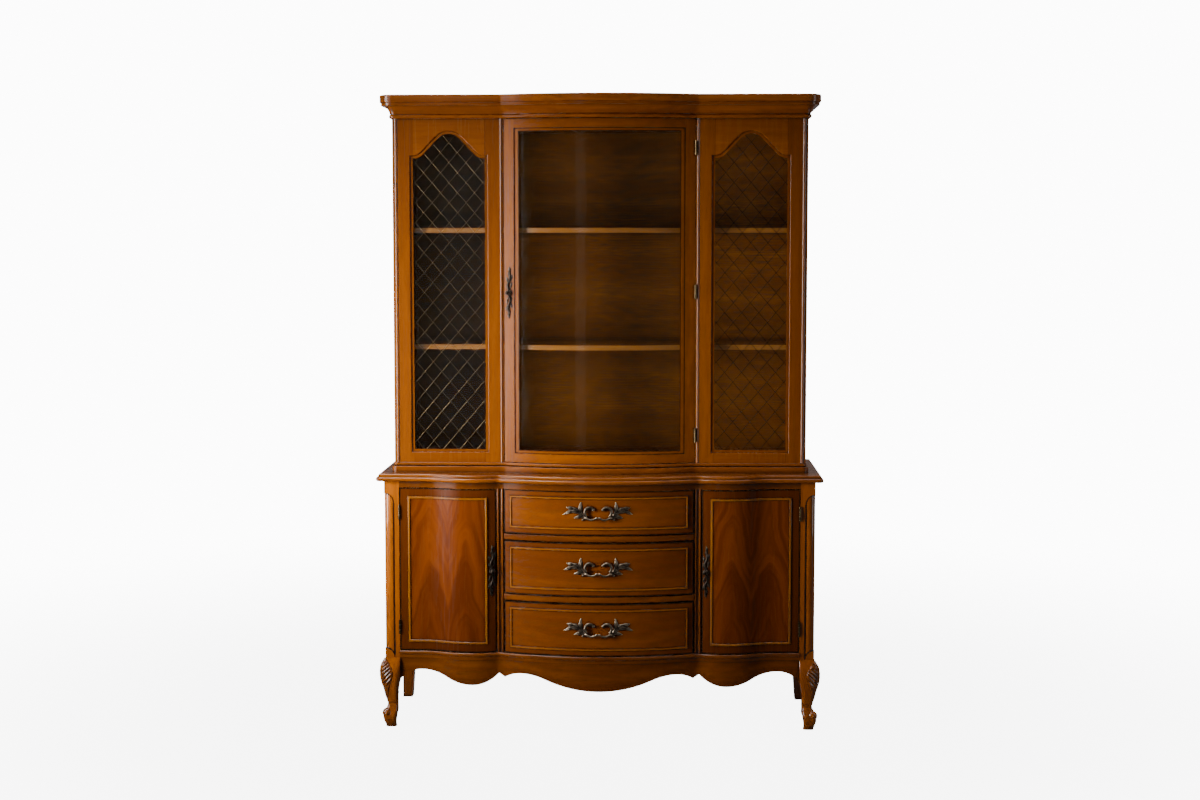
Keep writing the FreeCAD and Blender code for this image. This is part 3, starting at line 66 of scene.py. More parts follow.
def fill(node, inputs):
    """Fills inputs of a node: a plain value is set, a socket is linked."""
    for name, given in inputs.items():
        if isinstance(given, bpy.types.NodeSocket):
            node.id_data.links.new(given, node.inputs[name])
        else:
            node.inputs[name].default_value = given


def add(kind, inputs=None, **looks):
    """Adds a node to the tree in work and fills its inputs."""
    made = work["tree"].nodes.new(kind)
    for name, look in looks.items():
        setattr(made, name, look)
    fill(made, inputs or {})
    return made


def reckon(operation, *given, clamp=False):
    """One sum on one, two or three values."""
    return add("ShaderNodeMath", dict(enumerate(given)), operation=operation, use_clamp=clamp).outputs[0]


def times(*factors):
    """Product of two or more values."""
    product = factors[0]
    for factor in factors[1:]:
        product = reckon("MULTIPLY", product, factor)
    return product


def apart(first, second):
    """Distance between two values."""
    return reckon("ABSOLUTE", reckon("SUBTRACT", first, second))


def between(given, low, high):
    """1 where a value lies between two limits."""
    return times(reckon("GREATER_THAN", given, low), reckon("LESS_THAN", given, high))


def reckon_vector(operation, *given):
    """One sum on vectors, which gives a vector or a number."""
    made = add("ShaderNodeVectorMath", dict(enumerate(given)), operation=operation)
    return made.outputs["Value" if operation in ("LENGTH", "DOT_PRODUCT") else "Vector"]


def axes_of(vector):
    return add("ShaderNodeSeparateXYZ", {0: vector}).outputs


def vector_of(**axes):
    return add("ShaderNodeCombineXYZ", axes).outputs[0]


def mixed(amount, first, second):
    """Mix of two colours."""
    return add("ShaderNodeMix", {MIX_AMOUNT: amount, MIX_FIRST: first, MIX_SECOND: second},
               data_type="RGBA").outputs[MIX_COLOUR]


def ranged(given, low, high, start=0.0, end=1.0):
    """Smooth step of a value from one range to another."""
    return add("ShaderNodeMapRange", {
        "Value": given, "From Min": low, "From Max": high, "To Min": start, "To Max": end},
        interpolation_type="SMOOTHSTEP").outputs[0]


def noise(vector, scale, detail=2.0, roughness=0.5):
    return add("ShaderNodeTexNoise", {
        "Vector": vector, "Scale": scale, "Detail": detail, "Roughness": roughness}).outputs[0]


def openness(reach):
    """How open the air is round a point: low in corners and crevices."""
    return add("ShaderNodeAmbientOcclusion", {"Distance": reach}, samples=OPENNESS_SAMPLES).outputs["AO"]


SOCKETS = {"value": "NodeSocketFloat", "vector": "NodeSocketVector", "colour": "NodeSocketColor",
           "count": "NodeSocketInt", "material": "NodeSocketMaterial", "geometry": "NodeSocketGeometry"}


def node_group(name, takes, gives, kind="ShaderNodeTree"):
    """Empty node group with named inputs and outputs."""
    tree = work["tree"] = bpy.data.node_groups.new(name, kind)
    for way, sockets in (("INPUT", takes), ("OUTPUT", gives)):
        for label, socket in sockets.items():
            tree.interface.new_socket(label, in_out=way, socket_type=SOCKETS[socket])
    return tree, tree.nodes.new("NodeGroupInput").outputs, tree.nodes.new("NodeGroupOutput")


print("kinds of sockets:", sorted(SOCKETS))


# %% [markdown]
# ## Wood figure
# Varnished fruitwood shows soft clouds of colour, long streaks along the grain, faint growth rings and
# tiny pores. A photo texture would give all that for one board only. Noise that is stretched along the
# grain gives it for every board, in the solid, so the end of a board agrees with its face. The group
# takes a vector whose Z runs along the grain.

# %% Group: wood figure
GRAIN_STRETCH, PORE_STRETCH = (1.0, 1.0, 0.07), (1.0, 1.0, 0.04)
SWAY_MIDDLE, SWAY_SIZE = (0.5, 0.5, 0.5), (0.05, 0.05, 0.05)
CLOUD_SCALE, SWAY_SCALE, RING_SCALE, STREAK_SCALE, PORE_SCALE = 6.0, 7.0, 11.0, 95.0, 900.0
PORE_DARKNESS, STREAK_HEIGHT = 0.35, 0.3
SMOOTH_GRAIN, ROUGH_GRAIN = 0.2, 0.33
figure, takes, gives = node_group(
    "Wood figure", {"Vector": "vector", "Pale": "colour", "Middle": "colour", "Dark": "colour",
                    "Rings": "value", "Streaks": "value"},
    {"Color": "colour", "Roughness": "value", "Height": "value"})
drawn = reckon_vector("MULTIPLY", takes["Vector"], GRAIN_STRETCH)
sway = add("ShaderNodeTexNoise", {"Vector": drawn, "Scale": SWAY_SCALE, "Detail": 2.0})
sway = reckon_vector("SUBTRACT", sway.outputs["Color"], SWAY_MIDDLE)
swayed = reckon_vector("MULTIPLY_ADD", sway, SWAY_SIZE, drawn)
clouds = ranged(noise(drawn, CLOUD_SCALE, 3.0), 0.3, 0.7)
streaks = ranged(noise(swayed, STREAK_SCALE, 6.0, 0.62), 0.38, 0.68)
rings = add("ShaderNodeTexWave", {
    "Vector": swayed, "Scale": RING_SCALE, "Distortion": 2.5, "Detail": 2.0, "Detail Scale": 1.4},
    wave_type="RINGS", rings_direction="Z").outputs[1]
tiny = reckon_vector("MULTIPLY", takes["Vector"], PORE_STRETCH)
pores = ranged(noise(tiny, PORE_SCALE, 1.0), 0.6, 0.72)
body_colour = mixed(clouds, takes["Middle"], takes["Pale"])
for mask, amount in ((rings, takes["Rings"]), (streaks, takes["Streaks"]), (pores, PORE_DARKNESS)):
    body_colour = mixed(times(mask, amount), body_colour, takes["Dark"])
fill(gives, {"Color": body_colour, "Roughness": ranged(streaks, 0.0, 1.0, SMOOTH_GRAIN, ROUGH_GRAIN),
             "Height": reckon("MULTIPLY_ADD", streaks, STREAK_HEIGHT, pores)})
print("wood figure:", len(figure.nodes), "nodes")

# %% [markdown]
# ## Glaze and painted shade in the corners, rub and painted highlight on the edges, dust on top
# Furniture of this style is wiped with a dark glaze that stays in corners and beside beads, while hands
# and cloths rub the edges pale. The dark in the corners is partly glaze and partly painted shade, and the
# pale edges are partly wear and partly painted highlight. The corner mask comes from ambient occlusion
# over a short reach, the edge mask from how far a small bevel turns the normal. Both follow the shape, so
# no texture map is used.

# %% Groups: glaze and painted shade, rubbed edges and painted highlight, dust
EDGE_WIDTH, EDGE_SAMPLES = 1.5 * MM, 4
EDGE_PATCH_SCALE, DUST_SCALE = 40.0, 9.0
DUST_COLOUR = (0.52, 0.45, 0.37, 1.0)
DUST_ROUGHNESS = 0.5
glaze_and_shade, takes, gives = node_group(
    "Glaze and painted shade in corners", {"Color": "colour", "Glaze and shade": "colour", "Amount": "value", "Reach": "value"},
    {"Color": "colour"})
# Painted shade along with the glaze: ambient occlusion darkens corners, gaps and the feet of beads.
corner = ranged(openness(takes["Reach"]), 0.42, 0.96, 1.0, 0.0)
corner = times(corner, takes["Amount"])
fill(gives, {"Color": mixed(corner, takes["Color"], takes["Glaze and shade"])})

rub, takes, gives = node_group(
    "Rubbed edges and painted highlight", {"Vector": "vector", "Color": "colour", "Rub and highlight": "colour", "Amount": "value"},
    {"Color": "colour"})
# Partly wear, partly painted highlight: the edges the bevel finds are lightened towards a pale gold.
turned = add("ShaderNodeBevel", {"Radius": EDGE_WIDTH}, samples=EDGE_SAMPLES).outputs[0]
straight = add("ShaderNodeNewGeometry").outputs["Normal"]
edge = ranged(reckon_vector("DOT_PRODUCT", turned, straight), 0.8, 0.98, 1.0, 0.0)
patchy = ranged(noise(takes["Vector"], EDGE_PATCH_SCALE, 3.0), 0.35, 0.6)
edge = times(edge, patchy, takes["Amount"])
fill(gives, {"Color": mixed(edge, takes["Color"], takes["Rub and highlight"])})

dust, takes, gives = node_group(
    "Dust on top", {"Vector": "vector", "Color": "colour", "Roughness": "value", "Amount": "value"},
    {"Color": "colour", "Roughness": "value"})
up = axes_of(add("ShaderNodeNewGeometry").outputs["Normal"])["Z"]
uneven = ranged(noise(takes["Vector"], DUST_SCALE, 5.0), 0.3, 0.7, 0.4, 1.0)
settled = times(ranged(up, 0.8, 0.98), takes["Amount"], uneven)
fill(gives, {"Color": mixed(settled, takes["Color"], DUST_COLOUR),
             "Roughness": reckon("MULTIPLY_ADD", settled, DUST_ROUGHNESS, takes["Roughness"])})
print("groups:", [group.name for group in bpy.data.node_groups])

# %% [markdown]
# ## Varnished woods
# Each family of boards has its own material, because the grain follows the board: upright on posts and
# stiles, level on rails and mouldings. A Mapping node turns the coordinates so that Z is along the grain.
# Straight mouldings and posts keep a glossy coat. Broad level and bowed pieces are satin, as rubbed
# varnish is, because a glossy bow would throw patches of white back.

# %% Wood materials
HALF_PI = math.pi / 2
ALONG = {"X": (0.0, HALF_PI, 0.0), "Y": (HALF_PI, 0.0, 0.0), "Z": (0.0, 0.0, 0.0)}
GLAZE_AND_SHADE_BROWN = (0.022, 0.008, 0.003, 1.0)
# Pale gold of worn edges, which also serves as a painted highlight.
RUB_AND_HIGHLIGHT_GOLD = (0.48, 0.19, 0.03, 1.0)
GRAIN_STRENGTH, GRAIN_DEPTH = 0.12, 0.6 * MM
LOW_SPECULAR = 0.1


def tones(pale, middle, dark):
    """Three colours of one wood, under the names of the figure's inputs."""
    return {"Pale": (*pale, 1.0), "Middle": (*middle, 1.0), "Dark": (*dark, 1.0)}


CASE_TONES = tones((0.29, 0.074, 0.0), (0.19, 0.045, 0.0), (0.08, 0.016, 0.0))
CORNICE_TONES = tones((0.33, 0.085, 0.0), (0.23, 0.054, 0.0), (0.09, 0.018, 0.0))
# A darker copy of the case wood, as painted shade: for the apron, the top rail under the overhang, the rails
# between the drawers, the base moulding and the reeded dividers.
SHADED_CASE_TONES = tones((0.21, 0.053, 0.0), (0.135, 0.031, 0.0), (0.06, 0.011, 0.0))
INNER_TONES = tones((0.15, 0.054, 0.008), (0.12, 0.04, 0.006), (0.045, 0.014, 0.002))
SHELF_TONES = tones((0.29, 0.115, 0.02), (0.21, 0.078, 0.011), (0.13, 0.045, 0.006))
RAW_TONES = tones((0.62, 0.44, 0.25), (0.5, 0.33, 0.175), (0.33, 0.2, 0.095))
BEAD_TONES = tones((0.34, 0.112, 0.005), (0.25, 0.076, 0.003), (0.12, 0.033, 0.002))


def own_place():
    return add("ShaderNodeTexCoord").outputs["Object"]


def grain_vector(along, fine=1.0):
    """Object coordinates turned so that Z runs along the grain."""
    return add("ShaderNodeMapping", {
        "Vector": own_place(), "Rotation": ALONG[along], "Scale": (fine, fine, fine)}).outputs[0]


def figured(vector, wood_tones, rings, streaks):
    return add("ShaderNodeGroup", {"Vector": vector, "Rings": rings, "Streaks": streaks, **wood_tones},
               node_tree=figure).outputs


def new_material(name):
    made = bpy.data.materials.new(name)
    made.use_nodes = True
    work["tree"] = made.node_tree
    return made, made.node_tree.nodes["Principled BSDF"]


def varnish(shader, colour, shown, height=None, coat=0.8, haze=0.07, corner=0.95, reach=0.016,
            rubbed=0.25, dusty=0.03):
    """Glaze with painted shade, rub with painted highlight, and dust over a wood colour, then the varnish on
    the shader itself.
    """
    place = own_place()
    worn = add("ShaderNodeGroup", {
        "Vector": place, "Color": colour, "Rub and highlight": RUB_AND_HIGHLIGHT_GOLD, "Amount": rubbed}, node_tree=rub)
    glazed = add("ShaderNodeGroup", {
        "Color": worn.outputs[0], "Glaze and shade": GLAZE_AND_SHADE_BROWN, "Amount": corner, "Reach": reach}, node_tree=glaze_and_shade)
    dusted = add("ShaderNodeGroup", {
        "Vector": place, "Color": glazed.outputs[0], "Roughness": shown["Roughness"],
        "Amount": dusty}, node_tree=dust)
    if height is None:
        height = shown["Height"]
    grain = add("ShaderNodeBump", {
        "Height": height, "Strength": GRAIN_STRENGTH, "Distance": GRAIN_DEPTH})
    fill(shader, {
        "Base Color": dusted.outputs["Color"], "Roughness": dusted.outputs["Roughness"],
        "Normal": grain.outputs[0], "Coat Weight": coat, "Coat Roughness": haze,
        "Specular IOR Level": LOW_SPECULAR})


def wood(name, along, wood_tones=CASE_TONES, rings=0.25, streaks=0.45, fine=1.0, **finish):
    made, shader = new_material(name)
    shown = figured(grain_vector(along, fine), wood_tones, rings, streaks)
    varnish(shader, shown["Color"], shown, **finish)
    return made


# Each wood paints shade into its corners through corner and reach, and highlight on its edges through the
# rub.
upright_wood = wood("upright_case_wood", "Z")
level_wood = wood("level_case_wood", "X", coat=0.2, haze=0.22)
side_wood = wood("plain_side_wood", "Z", rings=0.05, streaks=0.25, coat=0.4, haze=0.12)
edge_wood = wood("moulded_edge_wood", "X", coat=0.5, haze=0.12, corner=1.0, reach=0.009)
cornice_wood = wood("cornice_wood", "X", CORNICE_TONES, coat=0.35, haze=0.14, corner=1.0, reach=0.015)
# On the carved legs a very short reach paints shade into the flutes, and the rub paints highlight on the
# ridges.
carved_wood = wood("carved_leg_wood", "Z", coat=0.7, haze=0.1, corner=1.0, reach=0.007, rubbed=0.5)
apron_wood = wood("satin_apron_wood", "X", SHADED_CASE_TONES, coat=0.1, haze=0.3)
# The top rail lies under the overhang of the top: its long corner reach paints the shadow cast there.
shaded_wood = wood("top_rail_wood", "X", SHADED_CASE_TONES, coat=0.3, reach=0.045)
rail_wood = wood("drawer_rail_wood", "X", SHADED_CASE_TONES, coat=0.5, haze=0.12, corner=1.0, reach=0.012)
divider_wood = wood("reeded_divider_wood", "Z", SHADED_CASE_TONES, coat=0.6, haze=0.1)
back_wood = wood("hutch_back_wood", "X", INNER_TONES, rings=0.25, streaks=0.8, fine=3.6, coat=0.05,
                 corner=0.5, rubbed=0.0)
inner_wood = wood("inner_case_wood", "Z", INNER_TONES, coat=0.05, corner=0.5, rubbed=0.1)
shelf_wood = wood("shelf_wood", "X", SHELF_TONES, corner=0.4)
raw_wood = wood("raw_drawer_wood", "Y", RAW_TONES, coat=0.0, corner=0.4, rubbed=0.0, dusty=0.25)
raw_back = wood("raw_back_board", "Z", INNER_TONES, coat=0.0, corner=0.4, rubbed=0.0, dusty=0.2)
# Door beads in paler tones than the case wood.
bead_wood = wood("pale_bead_wood", "Z", BEAD_TONES, reach=0.006, rubbed=0.4)
print("woods:", [m.name for m in bpy.data.materials if m.name.endswith("wood")])

# %% [markdown]
# ## Figured fronts
# The drawer fronts carry level veneer inside a bead, with a painted highlight along its crest. The doors
# carry a book-matched flame: two leaves of veneer that mirror each other about the middle of the door,
# with the grain in pointed arches. A mirror is a distance from the middle, and the arches are noise along
# lines that fall away from a place beside it. The glaze and painted shade along the rim and beside the
# bead are drawn as lines, which the short corner mask would leave too faint.

# %% Veneers of drawers and doors
RIM = 2.8 * MM
QUIRK = 1.6 * MM
LINE_DEPTH = 0.95
BEAD_WIDTH = 7 * MM
BEAD_CREST = 2 * MM
DRAWER_BEAD_INSET = 16 * MM
DOOR_BEAD_INSET = 25 * MM
FRONT_REACH = 11 * MM
FRONT_HAZE = 0.3
FRONT_TONES = tones((0.24, 0.058, 0.0), (0.15, 0.033, 0.0), (0.06, 0.011, 0.0))
FLAME_TONES = tones((0.19, 0.038, 0.0), (0.13, 0.024, 0.0), (0.08, 0.013, 0.0))
BEAD_CREST_HIGHLIGHT = (0.46, 0.17, 0.02, 1.0)
CREST_HIGHLIGHT_SHARE, DRAWER_BORDER, DOOR_BORDER, GRAIN_SHARE = 0.45, 0.3, 0.75, 0.35
ARCH_PLACE, ARCH_POWER, ARCH_FALL, ARCH_DRIFT = 58 * MM, 1.3, 7.8, 0.3
DRIFT_SCALE, BROAD_SCALE, FINE_SCALE = 6.0, 15.0, 60.0


def own_spot():
    return axes_of(own_place())


def inside(spot, low, high):
    """1 inside a rectangle of the front plane, given by its low and high corners."""
    return times(between(spot["X"], low[0], high[0]), between(spot["Z"], low[1], high[1]))


def framed(spot, node, edge):
    """1 inside the outline of a front, drawn in by an edge all round."""
    low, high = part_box(node)
    return inside(spot, (low.x + edge, low.z + edge), (high.x - edge, high.z - edge))


def dark_lines(spot, node, bead_inset):
    """Glaze and painted shade along the rim of a front and in the quirks on both sides of its bead."""
    lines = reckon("SUBTRACT", 1.0, framed(spot, node, RIM))
    bead_end = bead_inset + BEAD_WIDTH
    for start, end in ((bead_inset - QUIRK, bead_inset), (bead_end, bead_end + QUIRK)):
        outer, inner = framed(spot, node, start), framed(spot, node, end)
        lines = reckon("ADD", lines, reckon("SUBTRACT", outer, inner, clamp=True))
    return times(lines, LINE_DEPTH)


def drawer_front_wood(node):
    """Level veneer inside the bead of one drawer, with a painted highlight along the crest of the bead."""
    made, shader = new_material(node + "_veneer")
    spot = own_spot()
    outer = framed(spot, node, DRAWER_BEAD_INSET + BEAD_CREST)
    inner = framed(spot, node, DRAWER_BEAD_INSET + BEAD_WIDTH - BEAD_CREST)
    shown = figured(grain_vector("X"), FRONT_TONES, 0.1, 0.35)
    # Painted highlight: the crest in the middle of the bead is mixed towards a pale gold.
    band = reckon("SUBTRACT", outer, inner, clamp=True)
    colour = mixed(times(band, CREST_HIGHLIGHT_SHARE), shown["Color"], BEAD_CREST_HIGHLIGHT)
    border = times(reckon("SUBTRACT", 1.0, outer), DRAWER_BORDER)
    colour = mixed(border, colour, FRONT_TONES["Dark"])
    colour = mixed(dark_lines(spot, node, DRAWER_BEAD_INSET), colour, GLAZE_AND_SHADE_BROWN)
    varnish(shader, colour, shown, coat=0.12, haze=FRONT_HAZE, reach=FRONT_REACH)
    return made


def flame_veneer(node):
    """Book-matched flame inside the bead of one door, darker upright wood round it."""
    made, shader = new_material(node + "_veneer")
    low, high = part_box(node)
    place = own_place()
    spot = axes_of(place)
    aside = apart(spot["X"], (low.x + high.x) / 2)
    drift = reckon("SUBTRACT", noise(place, DRIFT_SCALE, 2.0), 0.5)
    fall = reckon("POWER", apart(aside, ARCH_PLACE), ARCH_POWER)
    arch = reckon("MULTIPLY_ADD", fall, ARCH_FALL, spot["Z"])
    arch = reckon("MULTIPLY_ADD", drift, ARCH_DRIFT, arch)
    leaf_place = vector_of(X=times(aside, 0.5), Z=arch)
    broad = ranged(noise(leaf_place, BROAD_SCALE, 2.0), 0.35, 0.65)
    fine = ranged(noise(leaf_place, FINE_SCALE, 4.0, 0.65), 0.4, 0.7, 0.0, 0.35)
    grain = figured(place, FLAME_TONES, 0.0, 0.45)
    colour = mixed(broad, FLAME_TONES["Dark"], FLAME_TONES["Pale"])
    colour = mixed(fine, colour, FLAME_TONES["Dark"])
    colour = mixed(GRAIN_SHARE, colour, grain["Color"])
    plain = figured(grain_vector("Z"), FRONT_TONES, 0.2, 0.45)
    border = mixed(DOOR_BORDER, plain["Color"], FRONT_TONES["Dark"])
    colour = mixed(framed(spot, node, DOOR_BEAD_INSET), border, colour)
    colour = mixed(dark_lines(spot, node, DOOR_BEAD_INSET), colour, GLAZE_AND_SHADE_BROWN)
    varnish(shader, colour, grain, plain["Height"], coat=0.06, haze=FRONT_HAZE, reach=FRONT_REACH)
    return made


veneers = {"drawer_%s_front" % level: drawer_front_wood("drawer_%s_front" % level)
           for level in ("upper", "middle", "lower")}
veneers.update({door: flame_veneer(door) for door in ("left_door_panel", "right_door_panel")})
print("veneers:", sorted(veneers))

# %% [markdown]
# ## Frames of the side lights
# A light frame is joined from two stiles and two rails, so its grain turns at each joint. The rails are
# told from the stiles by where they stand, and the joint itself is a hairline that holds the glaze.

# %% Light frame wood
FRAME_TONES = tones((0.24, 0.06, 0.0), (0.155, 0.036, 0.0), (0.066, 0.013, 0.0))
LIGHT_MIDDLE, LIGHT_HALF = 461.5 * MM, 110.1 * MM
LIGHT_SILL, LIGHT_SHOULDER = 862.5 * MM, 1755.5 * MM
HAIRLINE_CORE, HAIRLINE_END, HAIRLINE_DEPTH = 0.2 * MM, 0.7 * MM, 0.6


def light_frame_wood():
    made, shader = new_material("light_frame_wood")
    spot = own_spot()
    aside = apart(reckon("ABSOLUTE", spot["X"]), LIGHT_MIDDLE)
    above = reckon("GREATER_THAN", spot["Z"], LIGHT_SHOULDER)
    below = reckon("LESS_THAN", spot["Z"], LIGHT_SILL)
    ends = reckon("ADD", above, below)
    rail = times(reckon("LESS_THAN", aside, LIGHT_HALF), ends)
    stile_figure = figured(grain_vector("Z"), FRAME_TONES, 0.1, 0.35)
    rail_figure = figured(grain_vector("X"), FRAME_TONES, 0.0, 0.2)
    colour = mixed(rail, stile_figure["Color"], rail_figure["Color"])
    gap = apart(aside, LIGHT_HALF)
    hairline = ranged(gap, HAIRLINE_CORE, HAIRLINE_END, HAIRLINE_DEPTH, 0.0)
    colour = mixed(times(hairline, ends), colour, GLAZE_AND_SHADE_BROWN)
    height = reckon("SUBTRACT", rail_figure["Height"], stile_figure["Height"])
    height = reckon("MULTIPLY_ADD", height, rail, stile_figure["Height"])
    varnish(shader, colour, stile_figure, height, coat=0.25, haze=0.2)
    return made


light_wood = light_frame_wood()
print(light_wood.name, len(light_wood.node_tree.nodes), "nodes")

# %% [markdown]
# ## Frame of the glass door
# Stiles and rails step down to the glass, and glaze and painted shade lie in both corners of that step.
# The two dark lines are painted where the frame changes level, so they meet at the corners like the step
# itself.

# %% Glass door wood
GLASS_HALF, FACE_HALF = 246 * MM, 261 * MM
GLASS_LEVELS, FACE_LEVELS = (863 * MM, 1835 * MM), (852 * MM, 1846 * MM)
STEP_LINE, STEP_LAP, STEP_DEPTH = 2.6 * MM, 0.5 * MM, 0.9


def glass_door_wood(name, along):
    made, shader = new_material(name)
    spot = own_spot()

    def within(half, levels, wider):
        return inside(spot, (-half - wider, levels[0] - wider), (half + wider, levels[1] + wider))

    outer = reckon("SUBTRACT", within(FACE_HALF, FACE_LEVELS, STEP_LAP),
                   within(FACE_HALF, FACE_LEVELS, STEP_LAP - STEP_LINE))
    step = within(GLASS_HALF, GLASS_LEVELS, STEP_LINE)
    # Glaze and painted shade in the two corners of the step.
    lines = times(reckon("ADD", outer, step, clamp=True), STEP_DEPTH)
    shown = figured(grain_vector(along), CASE_TONES, 0.1, 0.4)
    colour = mixed(lines, shown["Color"], GLAZE_AND_SHADE_BROWN)
    varnish(shader, colour, shown, coat=0.12, haze=0.25)
    return made


stile_wood = glass_door_wood("glass_door_stile_wood", "Z")
door_rail_wood = glass_door_wood("glass_door_rail_wood", "X")
print("glass door:", stile_wood.name, door_rail_wood.name)

# %% [markdown]
# ## Corner posts
# A quirk runs up each post beside its rounded corner and bends out to the edge at the top and at the foot.
# Glaze and shade lie thick in it, more than the short corner mask gives, so a line of glaze and painted
# shade is drawn along its course: a straight run, and two arcs about the points from which the cutter was
# swung.

# %% Corner post wood
POST_TONES = tones((0.43, 0.108, 0.0), (0.3, 0.07, 0.0), (0.11, 0.022, 0.0))
QUIRK_PLACE = 633 * MM
QUIRK_RUN = (224 * MM, 700.5 * MM)
QUIRK_ARCS = (((663 * MM, 700.5 * MM), 30 * MM, 731 * MM), ((662.2 * MM, 219.5 * MM), 29.5 * MM, 250 * MM))
QUIRK_HALF = 2.0 * MM
ARC_CORE, ARC_END = 0.6 * QUIRK_HALF, 1.4 * QUIRK_HALF


def corner_post_wood():
    made, shader = new_material("corner_post_wood")
    spot = own_spot()
    aside = reckon("ABSOLUTE", spot["X"])
    run = ranged(apart(aside, QUIRK_PLACE), QUIRK_HALF, 2 * QUIRK_HALF, 1.0, 0.0)
    run = times(run, between(spot["Z"], *QUIRK_RUN))
    outward = reckon("GREATER_THAN", aside, QUIRK_PLACE - QUIRK_HALF)
    for (across, level), radius, top in QUIRK_ARCS:
        reach = vector_of(X=reckon("SUBTRACT", aside, across),
                          Z=reckon("SUBTRACT", spot["Z"], level))
        off = apart(reckon_vector("LENGTH", reach), radius)
        arc = ranged(off, ARC_CORE, ARC_END, 1.0, 0.0)
        arc = times(arc, between(spot["Z"], level, top), outward)
        run = reckon("MAXIMUM", run, arc)
    shown = figured(grain_vector("Z"), POST_TONES, 0.15, 0.4)
    # Glaze and painted shade along the quirk.
    colour = mixed(run, shown["Color"], GLAZE_AND_SHADE_BROWN)
    varnish(shader, colour, shown, coat=0.55, corner=0.65)
    return made


post_wood = corner_post_wood()
print(post_wood.name, len(post_wood.node_tree.nodes), "nodes")

# %% [markdown]
# ## Metals and glass
# The castings are bronze: dark patina, darkest in the crevices, and rubbed bright on the high spots. The
# door pulls are darker than the drawer pulls. Hinges and wires are brass; the right-hand wires take a
# darker copy of it, painted shade. The pane is clear: the shader lets light through, and a low alpha keeps
# the shelves readable.

# %% Metal and glass materials
CREVICE = 4 * MM
CLOUDY_SCALE, PIT_SCALE, SMEAR_SCALE = 160.0, 900.0, 3.0
PIT_STRENGTH, PIT_DEPTH = 0.15, 0.3 * MM
DULL_METAL, BRIGHT_METAL = 0.32, 0.2
GLASS_TINT = (0.72, 0.76, 0.74, 1.0)
GLASS_IOR = 1.3


def bronze(name, patina, bright, low, high, metallic=1.0):
    """Dark cast metal, bright where the surface is convex."""
    made, shader = new_material(name)
    place = own_place()
    high_spot = ranged(add("ShaderNodeNewGeometry").outputs["Pointiness"], low, high)
    cloudy = ranged(noise(place, CLOUDY_SCALE, 4.0), 0.3, 0.7, 0.55, 1.0)
    shine = times(high_spot, cloudy, ranged(openness(CREVICE), 0.4, 0.92))
    pits = add("ShaderNodeBump", {
        "Height": noise(place, PIT_SCALE, 2.0), "Strength": PIT_STRENGTH, "Distance": PIT_DEPTH})
    fill(shader, {
        "Base Color": mixed(shine, (*patina, 1.0), (*bright, 1.0)), "Metallic": metallic,
        "Roughness": ranged(shine, 0.0, 1.0, DULL_METAL, BRIGHT_METAL), "Normal": pits.outputs[0]})
    return made


def pane_glass():
    made, shader = new_material("clear_pane_glass")
    smears = noise(own_place(), SMEAR_SCALE, 5.0)
    fill(shader, {
        "Roughness": ranged(smears, 0.35, 0.75, 0.01, 0.05), "Base Color": GLASS_TINT,
        "Alpha": ranged(smears, 0.3, 0.8, 0.2, 0.27), "Transmission Weight": 1.0, "IOR": GLASS_IOR})
    return made


aged_bronze = bronze("aged_bronze", (0.045, 0.033, 0.025), (0.8, 0.64, 0.45), 0.495, 0.56)
dark_bronze = bronze("dark_bronze", (0.014, 0.01, 0.008), (0.4, 0.32, 0.23), 0.5, 0.58)
hinge_brass = bronze("hinge_brass", (0.03, 0.019, 0.009), (0.14, 0.092, 0.042), 0.48, 0.62)
wire_brass = bronze("wire_brass", (0.16, 0.105, 0.048), (0.34, 0.23, 0.11), 0.45, 0.65, metallic=0.9)
# A darker copy of the wire brass for the right-hand net: painted shade, where the left light does not reach.
shaded_wire_brass = bronze("painted_shade_wire_brass", (0.005, 0.004, 0.003), (0.012, 0.009, 0.006), 0.45, 0.65,
                    metallic=0.9)
glass = pane_glass()
print("metals:", [m.name for m in bpy.data.materials if m.name.endswith(("bronze", "brass"))], glass.name)

# %% [markdown]
# ## Finishes on the frame's own pieces
# The boards keep their CAD shape. Only the material slots change, so nothing of the frame is moved.

# %% Assign finishes
FINISHES = {
    upright_wood: "hutch_posts hutch_mullions rear_leg_left rear_leg_right",
    divider_wood: "dividers",
    side_wood: "hutch_side_left hutch_side_right buffet_side_left buffet_side_right",
    stile_wood: "hutch_door_stiles",
    door_rail_wood: "hutch_door_rails",
    post_wood: "corner_post_left corner_post_right",
    cornice_wood: "cornice_board cornice_moulding",
    level_wood: "hutch_floor hutch_base_board",
    edge_wood: "buffet_top",
    rail_wood: "drawer_rails base_moulding",
    apron_wood: "apron",
    shaded_wood: "top_rail",
    back_wood: "hutch_back hutch_ceiling",
    shelf_wood: "hutch_shelf_upper hutch_shelf_lower",
    inner_wood: "buffet_floor partition_left partition_right",
    raw_back: "buffet_back",
    raw_wood: "drawer_upper_box drawer_middle_box drawer_lower_box drawer_runners",
    bead_wood: "left_door_bead right_door_bead",
    light_wood: "side_frame_left side_frame_right",
    glass: "side_glass hutch_door_glass",
    hinge_brass: "hutch_hinge_fixed_leaves hutch_door_hinge_leaves buffet_hinge_fixed_leaves"
                 " left_door_hinge_leaves right_door_hinge_leaves shelf_pins",
    wire_brass: "wire_lattice",
    aged_bronze: "drawer_upper_pull drawer_middle_pull drawer_lower_pull",
    dark_bronze: "left_door_pull right_door_pull hutch_door_pull",
}
FINISHES.update({veneer: node for node, veneer in veneers.items()})
dressed = set()
for finish, names in FINISHES.items():
    for node in names.split():
        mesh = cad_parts[node].data
        mesh.materials.clear()
        mesh.materials.append(finish)
        dressed.add(node)
print("nodes without a finish:", sorted(set(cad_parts) - dressed))

